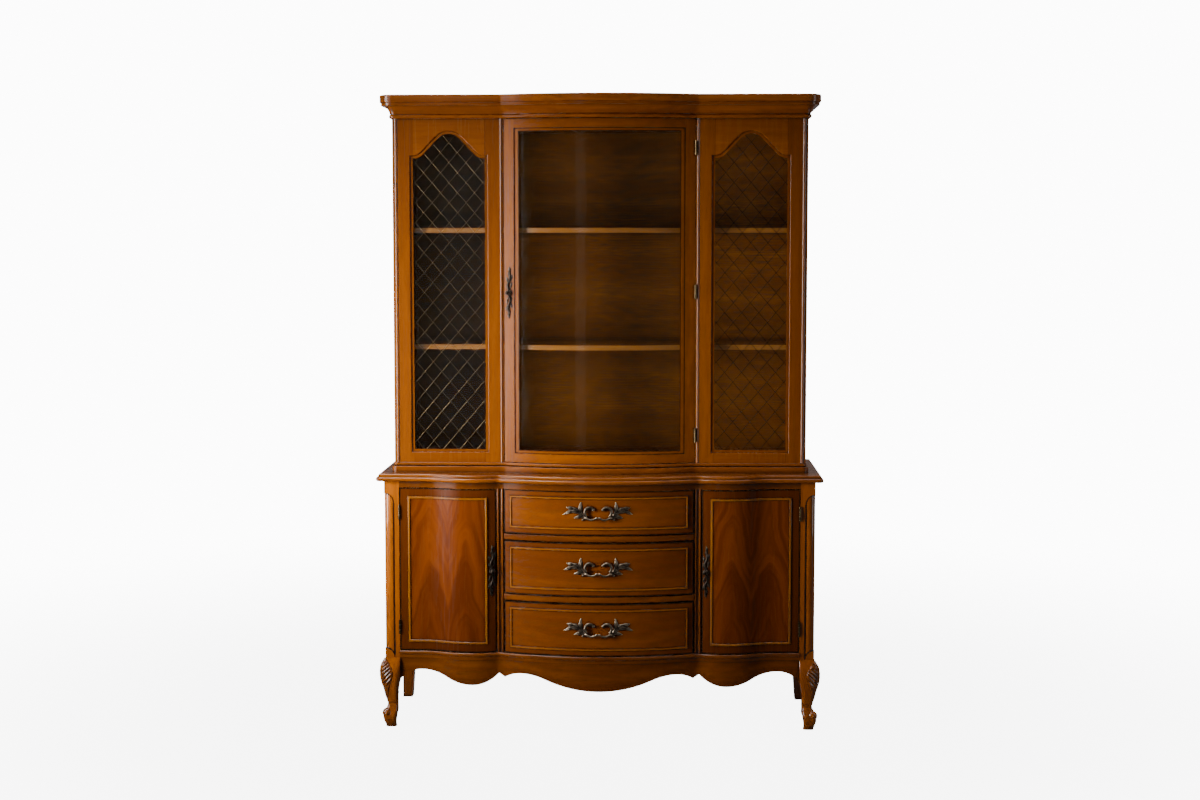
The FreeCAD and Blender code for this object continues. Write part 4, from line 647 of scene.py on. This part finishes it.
# %% [markdown]
# ## Wire lattice by Geometry Nodes
# In the rebate of each arched opening, before the pane, lies a net of brass wires in diamonds. Drawing
# each wire by hand would be slow, and a picture of a net would look flat from the side. The net follows a
# rule, so a Geometry Nodes tree makes it: a row of slanted lines each way, trimmed to the rebate, and bent
# over and under where they cross.


# %% Geometry Nodes helpers
def linked(name, data):
    """New object in the scene."""
    made = bpy.data.objects.new(name, data)
    bpy.context.scene.collection.objects.link(made)
    return made


def evaluated(holder):
    """Plain mesh of an object with its modifiers applied."""
    ready = holder.evaluated_get(bpy.context.evaluated_depsgraph_get())
    return bpy.data.meshes.new_from_object(ready)


def grown(name, tree, given, body):
    """Runs a geometry tree on an empty mesh and keeps the result as a plain mesh that rides on a body."""
    holder = linked(name, bpy.data.meshes.new(name))
    modifier = holder.modifiers.new("grow", "NODES")
    modifier.node_group = tree
    for socket in tree.interface.items_tree:
        if socket.in_out == "INPUT" and socket.name in given:
            modifier[socket.identifier] = given[socket.name]
    mesh = evaluated(holder)
    holder.modifiers.clear()
    holder.data = mesh
    mesh.name = name
    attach(holder, body)
    return holder


# %% The lattice tree
HALF_CELLS, POINTS_PER_WIRE, WIRE_SIDES = 14.0, 280, 6
BACKWARD = (-1.0, -1.0, -1.0)
net, takes, gives = node_group(
    "Wire lattice", {"Low": "vector", "High": "vector", "Diamond width": "value", "Diamond height": "value",
                     "Wire radius": "value", "Wires": "count", "Metal": "material"},
    {"Geometry": "geometry"}, "GeometryNodeTree")
low_spot, high_spot = axes_of(takes["Low"]), axes_of(takes["High"])
middle = [times(reckon("ADD", low_spot[k], high_spot[k]), 0.5) for k in range(3)]
wide, tall, wire = takes["Diamond width"], takes["Diamond height"], takes["Wire radius"]
first_x = reckon("MULTIPLY_ADD", wide, 0.5, middle[0])
half_count = reckon("FLOOR", times(takes["Wires"], 0.5))
start_x = reckon("SUBTRACT", first_x, times(half_count, wide))
row = add("GeometryNodeMeshLine", {
    "Count": takes["Wires"], "Start Location": vector_of(X=start_x, Y=middle[1], Z=middle[2]),
    "Offset": vector_of(X=wide)}).outputs[0]
circle = add("GeometryNodeCurvePrimitiveCircle", {"Resolution": WIRE_SIDES, "Radius": wire}).outputs[0]
both = net.nodes.new("GeometryNodeJoinGeometry")
for side in (1.0, -1.0):
    far = vector_of(X=times(wide, HALF_CELLS * side), Z=times(tall, HALF_CELLS))
    near = reckon_vector("MULTIPLY", far, BACKWARD)
    line = add("GeometryNodeCurvePrimitiveLine", {"Start": near, "End": far}).outputs[0]
    lines = add("GeometryNodeInstanceOnPoints", {"Points": row, "Instance": line}).outputs[0]
    lines = add("GeometryNodeRealizeInstances", {0: lines}).outputs[0]
    lines = add("GeometryNodeResampleCurve", {"Curve": lines, "Count": POINTS_PER_WIRE}).outputs[0]
    spot = axes_of(add("GeometryNodeInputPosition").outputs[0])
    kept = times(between(spot["X"], low_spot["X"], high_spot["X"]),
                 between(spot["Z"], low_spot["Z"], high_spot["Z"]))
    outside = reckon("SUBTRACT", 1.0, kept)
    lines = add("GeometryNodeDeleteGeometry", {"Geometry": lines, "Selection": outside}).outputs[0]
    turns = reckon("DIVIDE", reckon("SUBTRACT", spot["X"], first_x), wide)
    bend = times(reckon("COSINE", times(turns, 2 * math.pi)), times(wire, side))
    bend = vector_of(Y=bend)
    lines = add("GeometryNodeSetPosition", {"Geometry": lines, "Offset": bend}).outputs[0]
    way = add("GeometryNodeCurveToMesh", {"Curve": lines, "Profile Curve": circle, "Fill Caps": True})
    net.links.new(way.outputs[0], both.inputs[0])
solid = add("GeometryNodeRealizeInstances", {0: both.outputs[0]}).outputs[0]
metal = add("GeometryNodeSetMaterial", {"Geometry": solid, "Material": takes["Metal"]})
fill(gives, {"Geometry": metal.outputs[0]})
print("lattice tree:", len(net.nodes), "nodes")

# %% Make the two nets
places = [v.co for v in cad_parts["wire_lattice"].data.vertices]
NET_INSET = 0.4 * MM
DIAMOND_WIDTH, DIAMOND_HEIGHT, WIRE_RADIUS, WIRE_COUNT = 52 * MM, 61 * MM, 0.65 * MM, 41
# The right-hand net takes the darker copy of the brass, as painted shade.
for side in (-1, 1):
    ours = [p for p in places if p.x * side > 0]
    low = [min(p[k] for p in ours) + NET_INSET for k in range(3)]
    high = [max(p[k] for p in ours) - NET_INSET for k in range(3)]
    piece = grown("lattice_net_left" if side < 0 else "lattice_net_right", net, {
        "Low": low, "High": high, "Diamond width": DIAMOND_WIDTH, "Diamond height": DIAMOND_HEIGHT,
        "Wire radius": WIRE_RADIUS, "Wires": WIRE_COUNT,
        "Metal": wire_brass if side < 0 else shaded_wire_brass}, "cabinet")
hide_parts("wire_lattice")

# %% [markdown]
# ## Cast leaves and scrolls
# The pulls are one-piece castings: sprays of leaves, C-scrolls and a wavy grip. Sculpting them by hand is
# one way. Here a leaf is a strip along a bent spine, with a lobed edge, a sunk midrib and side veins, and a
# scroll is a tube of changing radius. Both lie in a flat frame: X across, Z up, height towards the room.
# Remeshing the overlapping shells into one skin gives the soft joints that a casting has.

# %% Leaf and scroll builders
LEAF_STEPS, LEAF_ACROSS, LEAF_NUDGE = 26, 6, 0.02
LEAF_THIN, LEAF_LOW = 0.12, 0.25
TUBE_SIDES = 14


def bezier(corners, share):
    """Point on a Bezier curve of any number of corners."""
    points = [Vector(c) for c in corners]
    while len(points) > 1:
        points = [a.lerp(b, share) for a, b in zip(points, points[1:])]
    return points[0]


def skin(mesh, rows):
    """Quads between rings of points, with both ends filled."""
    made = [[mesh.verts.new(p) for p in row] for row in rows]
    count = len(made[0])
    for first, second in zip(made, made[1:]):
        for k in range(count):
            n = (k + 1) % count
            mesh.faces.new((first[k], first[n], second[n], second[k]))
    mesh.faces.new(list(reversed(made[0])))
    mesh.faces.new(made[-1])


def leaf(mesh, corners, half_width, rise, lobes):
    """Lobed leaf along a spine of (x, z) corners in millimetres, closed underneath."""
    spine = [(x, 0.0, z) for x, z in corners]
    rows = []
    for i in range(LEAF_STEPS + 1):
        share = i / LEAF_STEPS
        here = bezier(spine, share)
        ahead = bezier(spine, min(1.0, share + LEAF_NUDGE))
        behind = bezier(spine, max(0.0, share - LEAF_NUDGE))
        along = (ahead - behind).normalized()
        aside = Vector((-along.z, 0.0, along.x))
        swell = math.sin(math.pi * min(1.0, 0.12 + 0.88 * share) ** 1.35) ** 0.6
        lobe = 1.0 + 0.2 * math.cos(2 * math.pi * lobes * (share - 0.08))
        width = max(LEAF_THIN, half_width * swell * lobe)
        top, under = [], []
        for k in range(2 * LEAF_ACROSS + 1):
            t = (k - LEAF_ACROSS) / LEAF_ACROSS
            dome = rise * (0.35 + 0.65 * swell) * (1.0 - t * t) ** 0.55
            rib = 0.3 * rise * math.exp(-(t / 0.16) ** 2)
            vein = 0.14 * rise * math.cos(2 * math.pi * (lobes * (share - 0.28 * abs(t))))
            height = max(LEAF_LOW, dome - rib + vein * (1.0 - t * t))
            spot = here + aside * (t * width)
            top.append(spot + Vector((0.0, -height, 0.0)))
            if 0 < k < 2 * LEAF_ACROSS:
                under.append(spot)
        rows.append([p * MM for p in top + list(reversed(under))])
    skin(mesh, rows)


def tube(mesh, path, radii):
    """Tube along points in millimetres, with a radius at each."""
    points = [Vector(p) for p in path]
    normal = Vector((0.0, 1.0, 0.0))
    rows = []
    for i, here in enumerate(points):
        along = (points[min(i + 1, len(points) - 1)] - points[max(i - 1, 0)]).normalized()
        normal = (normal - along * normal.dot(along)).normalized()
        other = along.cross(normal)
        ring = []
        for k in range(TUBE_SIDES):
            angle = 2 * math.pi * k / TUBE_SIDES
            ring.append((here + (normal * math.cos(angle) + other * math.sin(angle)) * radii[i]) * MM)
        rows.append(ring)
    skin(mesh, rows)


def wavy(keys, steps):
    """Smooth run of (x, y, z, radius) through keys, by cubic pieces with no overshoot at the ends."""
    run = []
    last = len(keys) - 1
    for i in range(last):
        before, first = Vector(keys[max(i - 1, 0)]), Vector(keys[i])
        second, after = Vector(keys[i + 1]), Vector(keys[min(i + 2, last)])
        for k in range(steps):
            t = k / steps
            run.append(0.5 * (2 * first + (second - before) * t
                              + (2 * before - 5 * first + 4 * second - after) * t * t
                              + (3 * first - before - 3 * second + after) * t ** 3))
    run.append(Vector(keys[-1]))
    return [(p[0], p[1], p[2]) for p in run], [p[3] for p in run]


def ball(mesh, place, radius, flat=1.0):
    """Round boss, flattened towards the room if asked."""
    size = Matrix.Diagonal((radius * MM, radius * flat * MM, radius * MM, 1.0))
    bmesh.ops.create_uvsphere(mesh, u_segments=20, v_segments=12, radius=1.0,
                              matrix=Matrix.Translation(Vector(place) * MM) @ size)


def smooth_mesh(mesh):
    for face in mesh.polygons:
        face.use_smooth = True
    return mesh


def mesh_of(name, shells):
    """Plain mesh of a set of closed shells, normals outward."""
    mesh = bpy.data.meshes.new(name)
    bmesh.ops.recalc_face_normals(shells, faces=shells.faces)
    shells.to_mesh(mesh)
    shells.free()
    return mesh


def cast(name, shells, voxel):
    """One skin round a set of overlapping shells."""
    rough = linked(name, mesh_of(name, shells))
    wrap = rough.modifiers.new("one_skin", "REMESH")
    wrap.mode, wrap.voxel_size = "VOXEL", voxel
    soft = rough.modifiers.new("soften", "SMOOTH")
    soft.factor, soft.iterations = 0.5, 2
    casting = evaluated(rough)
    bpy.data.objects.remove(rough)
    return smooth_mesh(casting)


def piece_from(name, mesh, shape, finish, body, slot, *nodes):
    """Copy of a mesh moved to its place, riding on a body in place of CAD nodes."""
    own = mesh.copy()
    own.name = name
    own.transform(shape)
    own.materials.clear()
    own.materials.append(finish)
    made = linked(name, own)
    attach(made, body)
    if nodes:
        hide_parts(*nodes)
    return made


# %% [markdown]
# ## Bail pulls of the drawers
# Each pull has a wavy grip between two feet, a C-scroll that curls in over each foot, and four leaves that
# fan out: one upright, two to the side, one low. The leaves bend back with the bow of the drawer, by the
# sagitta of its arc, so they lie on the wood from end to end.

# %% Drawer pull casting
BOW_RADIUS = 810.0
PULL_LEAVES = (
    (((-41, -15), (-53, -10), (-58, 6), (-54, 20), (-52, 31.5)), 6.0, 4.4, 2),
    (((-43, -13), (-58, 6), (-74, 14), (-86, 8), (-98, 14.5)), 6.0, 4.6, 3),
    (((-44, -14), (-60, -1), (-78, 10), (-90, -3), (-106, -8)), 6.0, 5.0, 3),
    (((-42, -16), (-54, -13), (-62, -16), (-75, -19.5)), 5.6, 4.2, 2),
)
GRIP_HALF = [(48, -4.5, -23.5, 2.4), (43, -8, -20, 3.0), (38, -13, -17.0, 3.7), (29, -16.5, -20.5, 3.2),
             (20, -18, -22.5, 3.3), (10, -18.5, -19.5, 3.1), (5, -18.5, -16.6, 3.9)]
GRIP_KEYS = [(-x, y, z, r) for x, y, z, r in GRIP_HALF] + [(0, -18.5, -17.4, 3.0)] + GRIP_HALF[::-1]
SCROLL_MIDDLE, SCROLL_STEPS = (25.3, 0.8), 8
SCROLL_START, SCROLL_SWEEP = 233, 201
SCROLL_RADIUS, SCROLL_TIGHTENS = 16.0, 0.45
SCROLL_RISE, SCROLL_FALLS = 11.0, 0.7
SCROLL_THICK, SCROLL_SWELLS = 3.4, 1.1
CURL_SIZE, FOOT_SIZE, FOOT_DEEP, TIP_SIZE, BUD_SHARE = 5.0, 6.2, 1.1, 3.3, 0.62
BAIL_VOXEL = 0.75 * MM


def scroll_keys(side):
    """C-scroll over one foot of the pull."""
    keys = []
    for k in range(SCROLL_STEPS + 1):
        angle = math.radians(SCROLL_START - SCROLL_SWEEP * k / SCROLL_STEPS)
        radius = SCROLL_RADIUS - SCROLL_TIGHTENS * k
        keys.append((side * (radius * math.cos(angle) - SCROLL_MIDDLE[0]), SCROLL_FALLS * k - SCROLL_RISE,
                     SCROLL_MIDDLE[1] + radius * math.sin(angle),
                     SCROLL_THICK + SCROLL_SWELLS * math.sin(math.pi * k / SCROLL_STEPS)))
    return keys


def bail_casting():
    shells = bmesh.new()
    for corners, *form in PULL_LEAVES:
        leaf(shells, corners, *form)
        leaf(shells, [(-x, z) for x, z in corners], *form)
    tube(shells, *wavy(GRIP_KEYS, 8))
    for side in (-1, 1):
        keys = scroll_keys(side)
        tube(shells, *wavy(keys, 6))
        ball(shells, keys[-1][:3], CURL_SIZE)
        ball(shells, (side * 38, -6.0, -17.0), FOOT_SIZE, FOOT_DEEP)
        ball(shells, (side * 47.5, -4.5, -23.5), TIP_SIZE)
        for x, y, z, size in keys[2:7:2]:
            ball(shells, (x + side * 2.2, y + 0.5, z), size * BUD_SHARE)
    for spot in shells.verts:
        across = spot.co.x / MM
        spot.co.y += (BOW_RADIUS - math.sqrt(BOW_RADIUS ** 2 - across ** 2)) * MM
    return cast("bail_casting", shells, BAIL_VOXEL)


bail_mesh = bail_casting()
PULL_BACK = 0.2 * MM
PULL_TOP = 31.6 * MM
FIELD_SUNK = 3.5 * MM
for level in ("upper", "middle", "lower"):
    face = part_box("drawer_%s_front" % level)[0].y + FIELD_SUNK
    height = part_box("drawer_%s_pull" % level)[1].z - PULL_TOP
    shape = Matrix.Translation((0.0, face - PULL_BACK, height))
    piece_from("bail_pull_" + level, bail_mesh, shape, aged_bronze, "drawer_" + level, "aged_bronze",
               "drawer_%s_pull" % level)
print("bail pull:", len(bail_mesh.polygons), "faces")

# %% [markdown]
# ## Upright pulls of the doors
# A vine climbs the stile in an S, with a leaf at each end, small leaves along it, and a petalled knob in the
# middle. It is built flat with the same leaves, then turned to the slope of the door where it sits.

# %% Upright pull casting
VINE_LEAVES = (
    (((2, 40), (-3, 56), (4, 68), (0, 80.5)), 4.6, 4.0, 3),
    (((3, 34), (9, 42), (7, 50), (10, 57)), 3.0, 3.0, 2),
    (((-2, 26), (-8, 34), (-6, 42), (-9.5, 48)), 3.0, 3.0, 2),
    (((3, 14), (8, 20), (6, 28), (9, 34)), 3.0, 3.0, 2),
    (((-3, 8), (-8, 13), (-6, 20), (-9.5, 26)), 3.0, 3.0, 2))
VINE_KEYS = [(1, -2, 62, 1.5), (3.5, -3, 48, 2.2), (1, -3.5, 36, 2.5), (-4, -3.5, 24, 2.6), (-1, -4, 11, 3.0),
             (0, -4, 0, 4.0)]
KNOB_PATH, KNOB_RADII = [(0, -2, 0), (0, -8, 0), (0, -11, 0), (0, -15, 0)], [5.0, 3.6, 3.6, 4.6]
VINE_VOXEL = 0.6 * MM


def rosette(mesh, count, ring, level, radius, flat=1.0):
    """Ring of petals round the knob."""
    for k in range(count):
        angle = 2 * math.pi * k / count
        ball(mesh, (ring * math.cos(angle), level, ring * math.sin(angle)), radius, flat)


def vine_casting():
    shells = bmesh.new()
    for turn in (1, -1):
        for corners, *form in VINE_LEAVES:
            leaf(shells, [(turn * x, turn * z) for x, z in corners], *form)
        tube(shells, *wavy([(turn * x, y, turn * z, r) for x, y, z, r in VINE_KEYS], 8))
    ball(shells, (0, -3.5, 0), 8.6, 0.5)
    rosette(shells, 7, 6.2, -4.5, 3.4, 0.9)
    tube(shells, KNOB_PATH, KNOB_RADII)
    ball(shells, (0, -16, 0), 6.6, 0.85)
    rosette(shells, 6, 4.4, -17, 2.9)
    return cast("vine_casting", shells, VINE_VOXEL)


vine_mesh = vine_casting()
print("vine pull:", len(vine_mesh.polygons), "faces")

# %% Hang the vines
POST_Y, HUTCH_Y = -161.5, -116.5
DOOR_PULL_X, BULGE_X, BULGE_RADIUS, BULGE_DEPTH = 328.7, 390.0, 193.0, 34.0
HUTCH_PULL_X, HUTCH_BOW = 276.0, 55.0


def hang_vine(name, node, body, across, front, angle):
    """Sets the vine on a door at the height of its CAD pull, turned about the vertical."""
    low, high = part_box(node)
    place = (across, front, (low.z + high.z) / 2 / MM)
    shape = Matrix.Translation(Vector(place) * MM) @ Matrix.Rotation(angle, 4, "Z")
    piece_from(name, vine_mesh, shape @ Matrix.Translation((0.0, -PULL_BACK, 0.0)), dark_bronze, body,
               "aged_bronze", node)


slope = math.asin((BULGE_X - DOOR_PULL_X) / BULGE_RADIUS)
door_y = POST_Y - (BULGE_DEPTH - BULGE_RADIUS) - BULGE_RADIUS * math.cos(slope)
hang_vine("vine_pull_left", "left_door_pull", "left_door", -DOOR_PULL_X, door_y, slope)
hang_vine("vine_pull_right", "right_door_pull", "right_door", DOOR_PULL_X, door_y, -slope)
lean = math.asin(HUTCH_PULL_X / BOW_RADIUS)
hutch_pull_y = HUTCH_Y - (HUTCH_BOW - BOW_RADIUS) - BOW_RADIUS * math.cos(lean)
hang_vine("vine_pull_hutch", "hutch_door_pull", "hutch_door", -HUTCH_PULL_X, hutch_pull_y, -lean)
print("degrees from straight:", round(math.degrees(slope), 1), round(math.degrees(lean), 1))

# %% [markdown]
# ## Carving on the cabriole legs
# The knee carries a pointed leaf with slanted flutes, and a lip runs down the inner edge to the ankle. A
# carver cuts them out of the leg. Here a grid is shot onto the leg's own surface and raised from it, so the
# carving follows the curve of the leg wherever that goes.

# %% Knee leaf
KNEE_WIDTHS = [(217, 0.8), (208, 9.0), (198, 17.0), (186, 24.0), (172, 28.0), (158, 27.0), (146, 22.5),
               (134, 17.0), (122, 12.5), (110, 9.0), (98, 5.5), (90, 1.5)]
KNEE_STEPS, KNEE_ACROSS = 90, 16
POST_MIDDLE = (639.25, -138.75)
SHOT_FROM = 90.0
FAN_FOOT, FAN_FOOT_RUN, FAN_HEAD, FAN_HEAD_RUN = 120.0, 26.0, 210.0, 14.0
FLUTE_SLANT, FLUTE_START, FLUTE_PITCH, FLUTE_DEPTH = 1.35, 150.0, 13.0, 2.3
KNEE_RISE, RIM_RISE, RIB_RISE, KNEE_ROOT = 2.1, 0.9, 0.6, 0.8
RIM_SHARE, RIB_SHARE, EDGE_STEEP, EDGE_LEAST = 0.16, 0.13, 5.0, 0.12


def surface_of(node):
    mesh = bmesh.new()
    mesh.from_mesh(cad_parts[node].data)
    bmesh.ops.remove_doubles(mesh, verts=mesh.verts, dist=0.00001)
    tree = BVHTree.FromBMesh(mesh)
    mesh.free()
    return tree


def width_at(level):
    for (high, first), (low, second) in zip(KNEE_WIDTHS, KNEE_WIDTHS[1:]):
        if low <= level <= high:
            return second + (first - second) * (level - low) / (high - low)
    return KNEE_WIDTHS[-1][1]


def knee_rise(t, level, width):
    """Height of the carving: t runs from -1 to 1 across the leaf."""
    foot, head = (level - FAN_FOOT) / FAN_FOOT_RUN, (FAN_HEAD - level) / FAN_HEAD_RUN
    fan = max(0.0, min(1.0, foot)) * max(0.0, min(1.0, head))
    flute = math.cos(2 * math.pi * (level - FLUTE_SLANT * abs(t) * width - FLUTE_START) / FLUTE_PITCH)
    rim = math.exp(-((1.0 - abs(t)) / RIM_SHARE) ** 2)
    rib = math.exp(-(t / RIB_SHARE) ** 2)
    rise = KNEE_RISE + RIM_RISE * rim + RIB_RISE * rib + FLUTE_DEPTH * fan * flute * (1.0 - rim) * (1.0 - rib)
    return rise * min(1.0, (1.0 - abs(t)) * EDGE_STEEP + EDGE_LEAST)


def carving(name, mesh):
    shape = smooth_mesh(mesh_of(name, mesh))
    return piece_from(name, shape, Matrix.Identity(4), carved_wood, "cabinet", "case_wood")


def knee_leaf(name, node, side):
    """Leaf on the outer corner of a leg; side is -1 on the left."""
    leg = surface_of(node)
    outward = Vector((side, -1.0, 0.0)).normalized()
    lateral = Vector((-side, -1.0, 0.0)).normalized()
    middle = Vector((side * POST_MIDDLE[0], POST_MIDDLE[1], 0.0))
    top_level, low_level = KNEE_WIDTHS[0][0], KNEE_WIDTHS[-1][0]
    rows = []
    for i in range(KNEE_STEPS + 1):
        level = top_level + (low_level - top_level) * i / KNEE_STEPS
        width = width_at(level)
        top, under = [], []
        for k in range(2 * KNEE_ACROSS + 1):
            t = (k - KNEE_ACROSS) / KNEE_ACROSS
            start = middle + lateral * (t * width) + outward * SHOT_FROM + Vector((0.0, 0.0, level))
            hit, normal = leg.ray_cast(start * MM, -outward)[:2]
            top.append(hit + normal * (knee_rise(t, level, width) * MM))
            if 0 < k < 2 * KNEE_ACROSS:
                under.append(hit - normal * (KNEE_ROOT * MM))
        rows.append(top + list(reversed(under)))
    mesh = bmesh.new()
    skin(mesh, rows)
    return carving(name, mesh)


knees = [knee_leaf("knee_leaf_left", "corner_post_left", -1),
         knee_leaf("knee_leaf_right", "corner_post_right", 1)]
print("knee leaves:", [len(knee.data.polygons) for knee in knees], "faces")

# %% Lip of the leg
EAR_EDGE = ((616.8, 151.5), (626.0, 143.0), (629.5, 120.0))
EAR_FRONT, EAR_LEAN = POST_Y + 4.0, 4.0
EAR_SHARES, LIP_LEVELS = (0.0, 0.3, 0.6, 0.9), range(110, 42, -8)
EAR_LIP, LEG_LIP, END_LIP = 2.6, 2.9, 1.2


def leg_lip(name, node, side):
    """Round lip from the ear down the inner edge of a leg to the foot."""
    leg = surface_of(node)
    inner = Vector((-side, -1.0, 0.0)).normalized()
    keys = []
    for share in EAR_SHARES:
        across, level = bezier([(x, z, 0.0) for x, z in EAR_EDGE], share)[:2]
        keys.append((side * across, EAR_FRONT + 1.0 - EAR_LEAN * share, level, EAR_LIP))
    for level in LIP_LEVELS:
        start = Vector((side * POST_MIDDLE[0], POST_MIDDLE[1], level)) + inner * SHOT_FROM
        hit = leg.ray_cast(start * MM, -inner)[0] / MM
        keys.append((hit.x, hit.y, hit.z, LEG_LIP))
    keys[-1] = keys[-1][:3] + (END_LIP,)
    mesh = bmesh.new()
    tube(mesh, *wavy(keys, 6))
    return carving(name, mesh)


lips = [leg_lip("leg_lip_left", "corner_post_left", -1), leg_lip("leg_lip_right", "corner_post_right", 1)]
print("leg lips:", [len(lip.data.polygons) for lip in lips], "faces")

# %% [markdown]
# ## Floor, light and camera
# A pale floor and a white surround stand for the studio. The main softbox stands at the left front and
# leaves the left bay of the hutch in shade. A large one hangs overhead, and weak ones fill the right, the
# side and the back. Panels that light nothing show only in the varnish and the glass: they give the long
# highlights on posts and beads, and the haze on the left pane.

# %% Studio
FLOOR_REACH, FLOOR_FADE = 4.2, 0.9
FLOOR_DARK, FLOOR_PALE = (0.19, 0.19, 0.185, 1.0), (0.21, 0.21, 0.205, 1.0)
FLOOR_ROUGHNESS, FLOOR_GLOW = 0.7, 7.0
SURROUND_COLOUR, PAPER_COLOUR = (1.0, 0.97, 0.93, 1.0), (1.0, 1.0, 1.0, 1.0)
PAPER_STRENGTH, ROOM_STRENGTH, ROOM_GLOSS = 12.0, 0.03, 0.12


def studio_floor():
    bpy.ops.mesh.primitive_circle_add(vertices=96, radius=FLOOR_REACH, fill_type="NGON")
    ground = bpy.context.object
    ground.name = "studio_floor"
    made, shader = new_material("pale_floor")
    tone = ranged(noise(own_place(), 1.5, 3.0), 0.3, 0.7)
    far = reckon_vector("LENGTH", own_place())
    fill(shader, {
        "Base Color": mixed(tone, FLOOR_DARK, FLOOR_PALE), "Roughness": FLOOR_ROUGHNESS,
        "Specular IOR Level": LOW_SPECULAR, "Alpha": ranged(far, FLOOR_FADE, FLOOR_REACH, 1.0, 0.0),
        "Emission Color": add("ShaderNodeLightPath").outputs["Is Camera Ray"],
        "Emission Strength": FLOOR_GLOW})
    ground.data.materials.append(made)


def softbox(name, place, target, wide, tall, watts, spread=180.0, mirrored=True, lights=True):
    """Area light in metres; it may be left out of reflections, or show in them alone."""
    lamp = bpy.data.lights.new(name, "AREA")
    lamp.shape = "RECTANGLE"
    lamp.size, lamp.size_y, lamp.energy = wide, tall, watts
    lamp.spread = math.radians(spread)
    holder = linked(name, lamp)
    holder.location = place
    holder.visible_glossy, holder.visible_diffuse = mirrored, lights
    holder.rotation_euler = (Vector(target) - Vector(place)).to_track_quat("-Z", "Y").to_euler()


studio_floor()
world = bpy.data.worlds.new("pale_surround")
bpy.context.scene.world = world
world.use_nodes = True
work["tree"] = sky = world.node_tree
room = sky.nodes["Background"]
paper = add("ShaderNodeBackground", {"Color": PAPER_COLOUR, "Strength": PAPER_STRENGTH})
ray = add("ShaderNodeLightPath").outputs
room_light = reckon("MULTIPLY_ADD", ray["Is Glossy Ray"], ROOM_GLOSS, ROOM_STRENGTH)
fill(room, {"Color": SURROUND_COLOUR, "Strength": room_light})
shown = add("ShaderNodeMixShader", {0: ray["Is Camera Ray"], 1: room.outputs[0], 2: paper.outputs[0]})
fill(sky.nodes["World Output"], {"Surface": shown.outputs[0]})
LAMPS = (
    ("window_light", (-2.0, -1.5, 1.15), (-0.5, -0.15, 1.08), 0.8, 1.0, 21.0, 62.0),
    ("fill_light", (2.6, -4.6, 2.0), (0.0, 0.0, 1.0), 1.6, 2.2, 3.0),
    ("side_fill", (3.2, 1.3, 1.6), (0.66, 0.1, 1.0), 1.2, 1.8, 40.0),
    ("back_fill", (-0.8, 4.4, 2.2), (0.0, 0.26, 1.0), 2.4, 1.8, 130.0))
PANELS = (
    ("left_panel", (-2.3, -1.0, 1.25), (0.0, -0.2, 1.1), 0.5, 1.8, 90.0),
    ("left_haze", (-2.0, -1.7, 1.25), (0.0, -0.2, 1.1), 0.9, 1.8, 16.0),
    ("left_veil", (-1.09, -5.7, 1.3), (-0.46, -0.11, 1.3), 0.5, 2.6, 4.5),
    ("right_panel", (2.4, -0.9, 1.2), (0.0, -0.2, 1.0), 0.4, 1.8, 14.0),
    ("top_panel", (-1.4, -0.6, 3.6), (-0.5, -0.2, 1.0), 2.4, 0.9, 120.0))
softbox("overhead_light", (0.0, -0.3, 4.8), (0.0, 0.0, 0.0), 4.0, 2.2, 120.0)
for lamp in LAMPS:
    softbox(*lamp, mirrored=False)
for panel in PANELS:
    softbox(*panel, lights=False)
print("lights:", [lamp.name for lamp in bpy.data.lights])

# %% Camera at the photo's angle
CAMERA_PLACE = (0.1917, -5.8646, 1.4996)
CAMERA_YAW, CAMERA_PITCH = 0.0331, 0.0838
CAMERA_SENSOR, CAMERA_LENS = 36.0, 56.29
view = bpy.data.cameras.new("photo_camera")
view.sensor_width, view.lens = CAMERA_SENSOR, CAMERA_LENS
camera = linked("photo_camera", view)
camera.location = CAMERA_PLACE
camera.rotation_euler = (HALF_PI - CAMERA_PITCH, 0.0, CAMERA_YAW)
bpy.context.scene.camera = camera
print("camera at", CAMERA_PLACE)

# %% Update the view layer, and the end
bpy.context.view_layer.update()
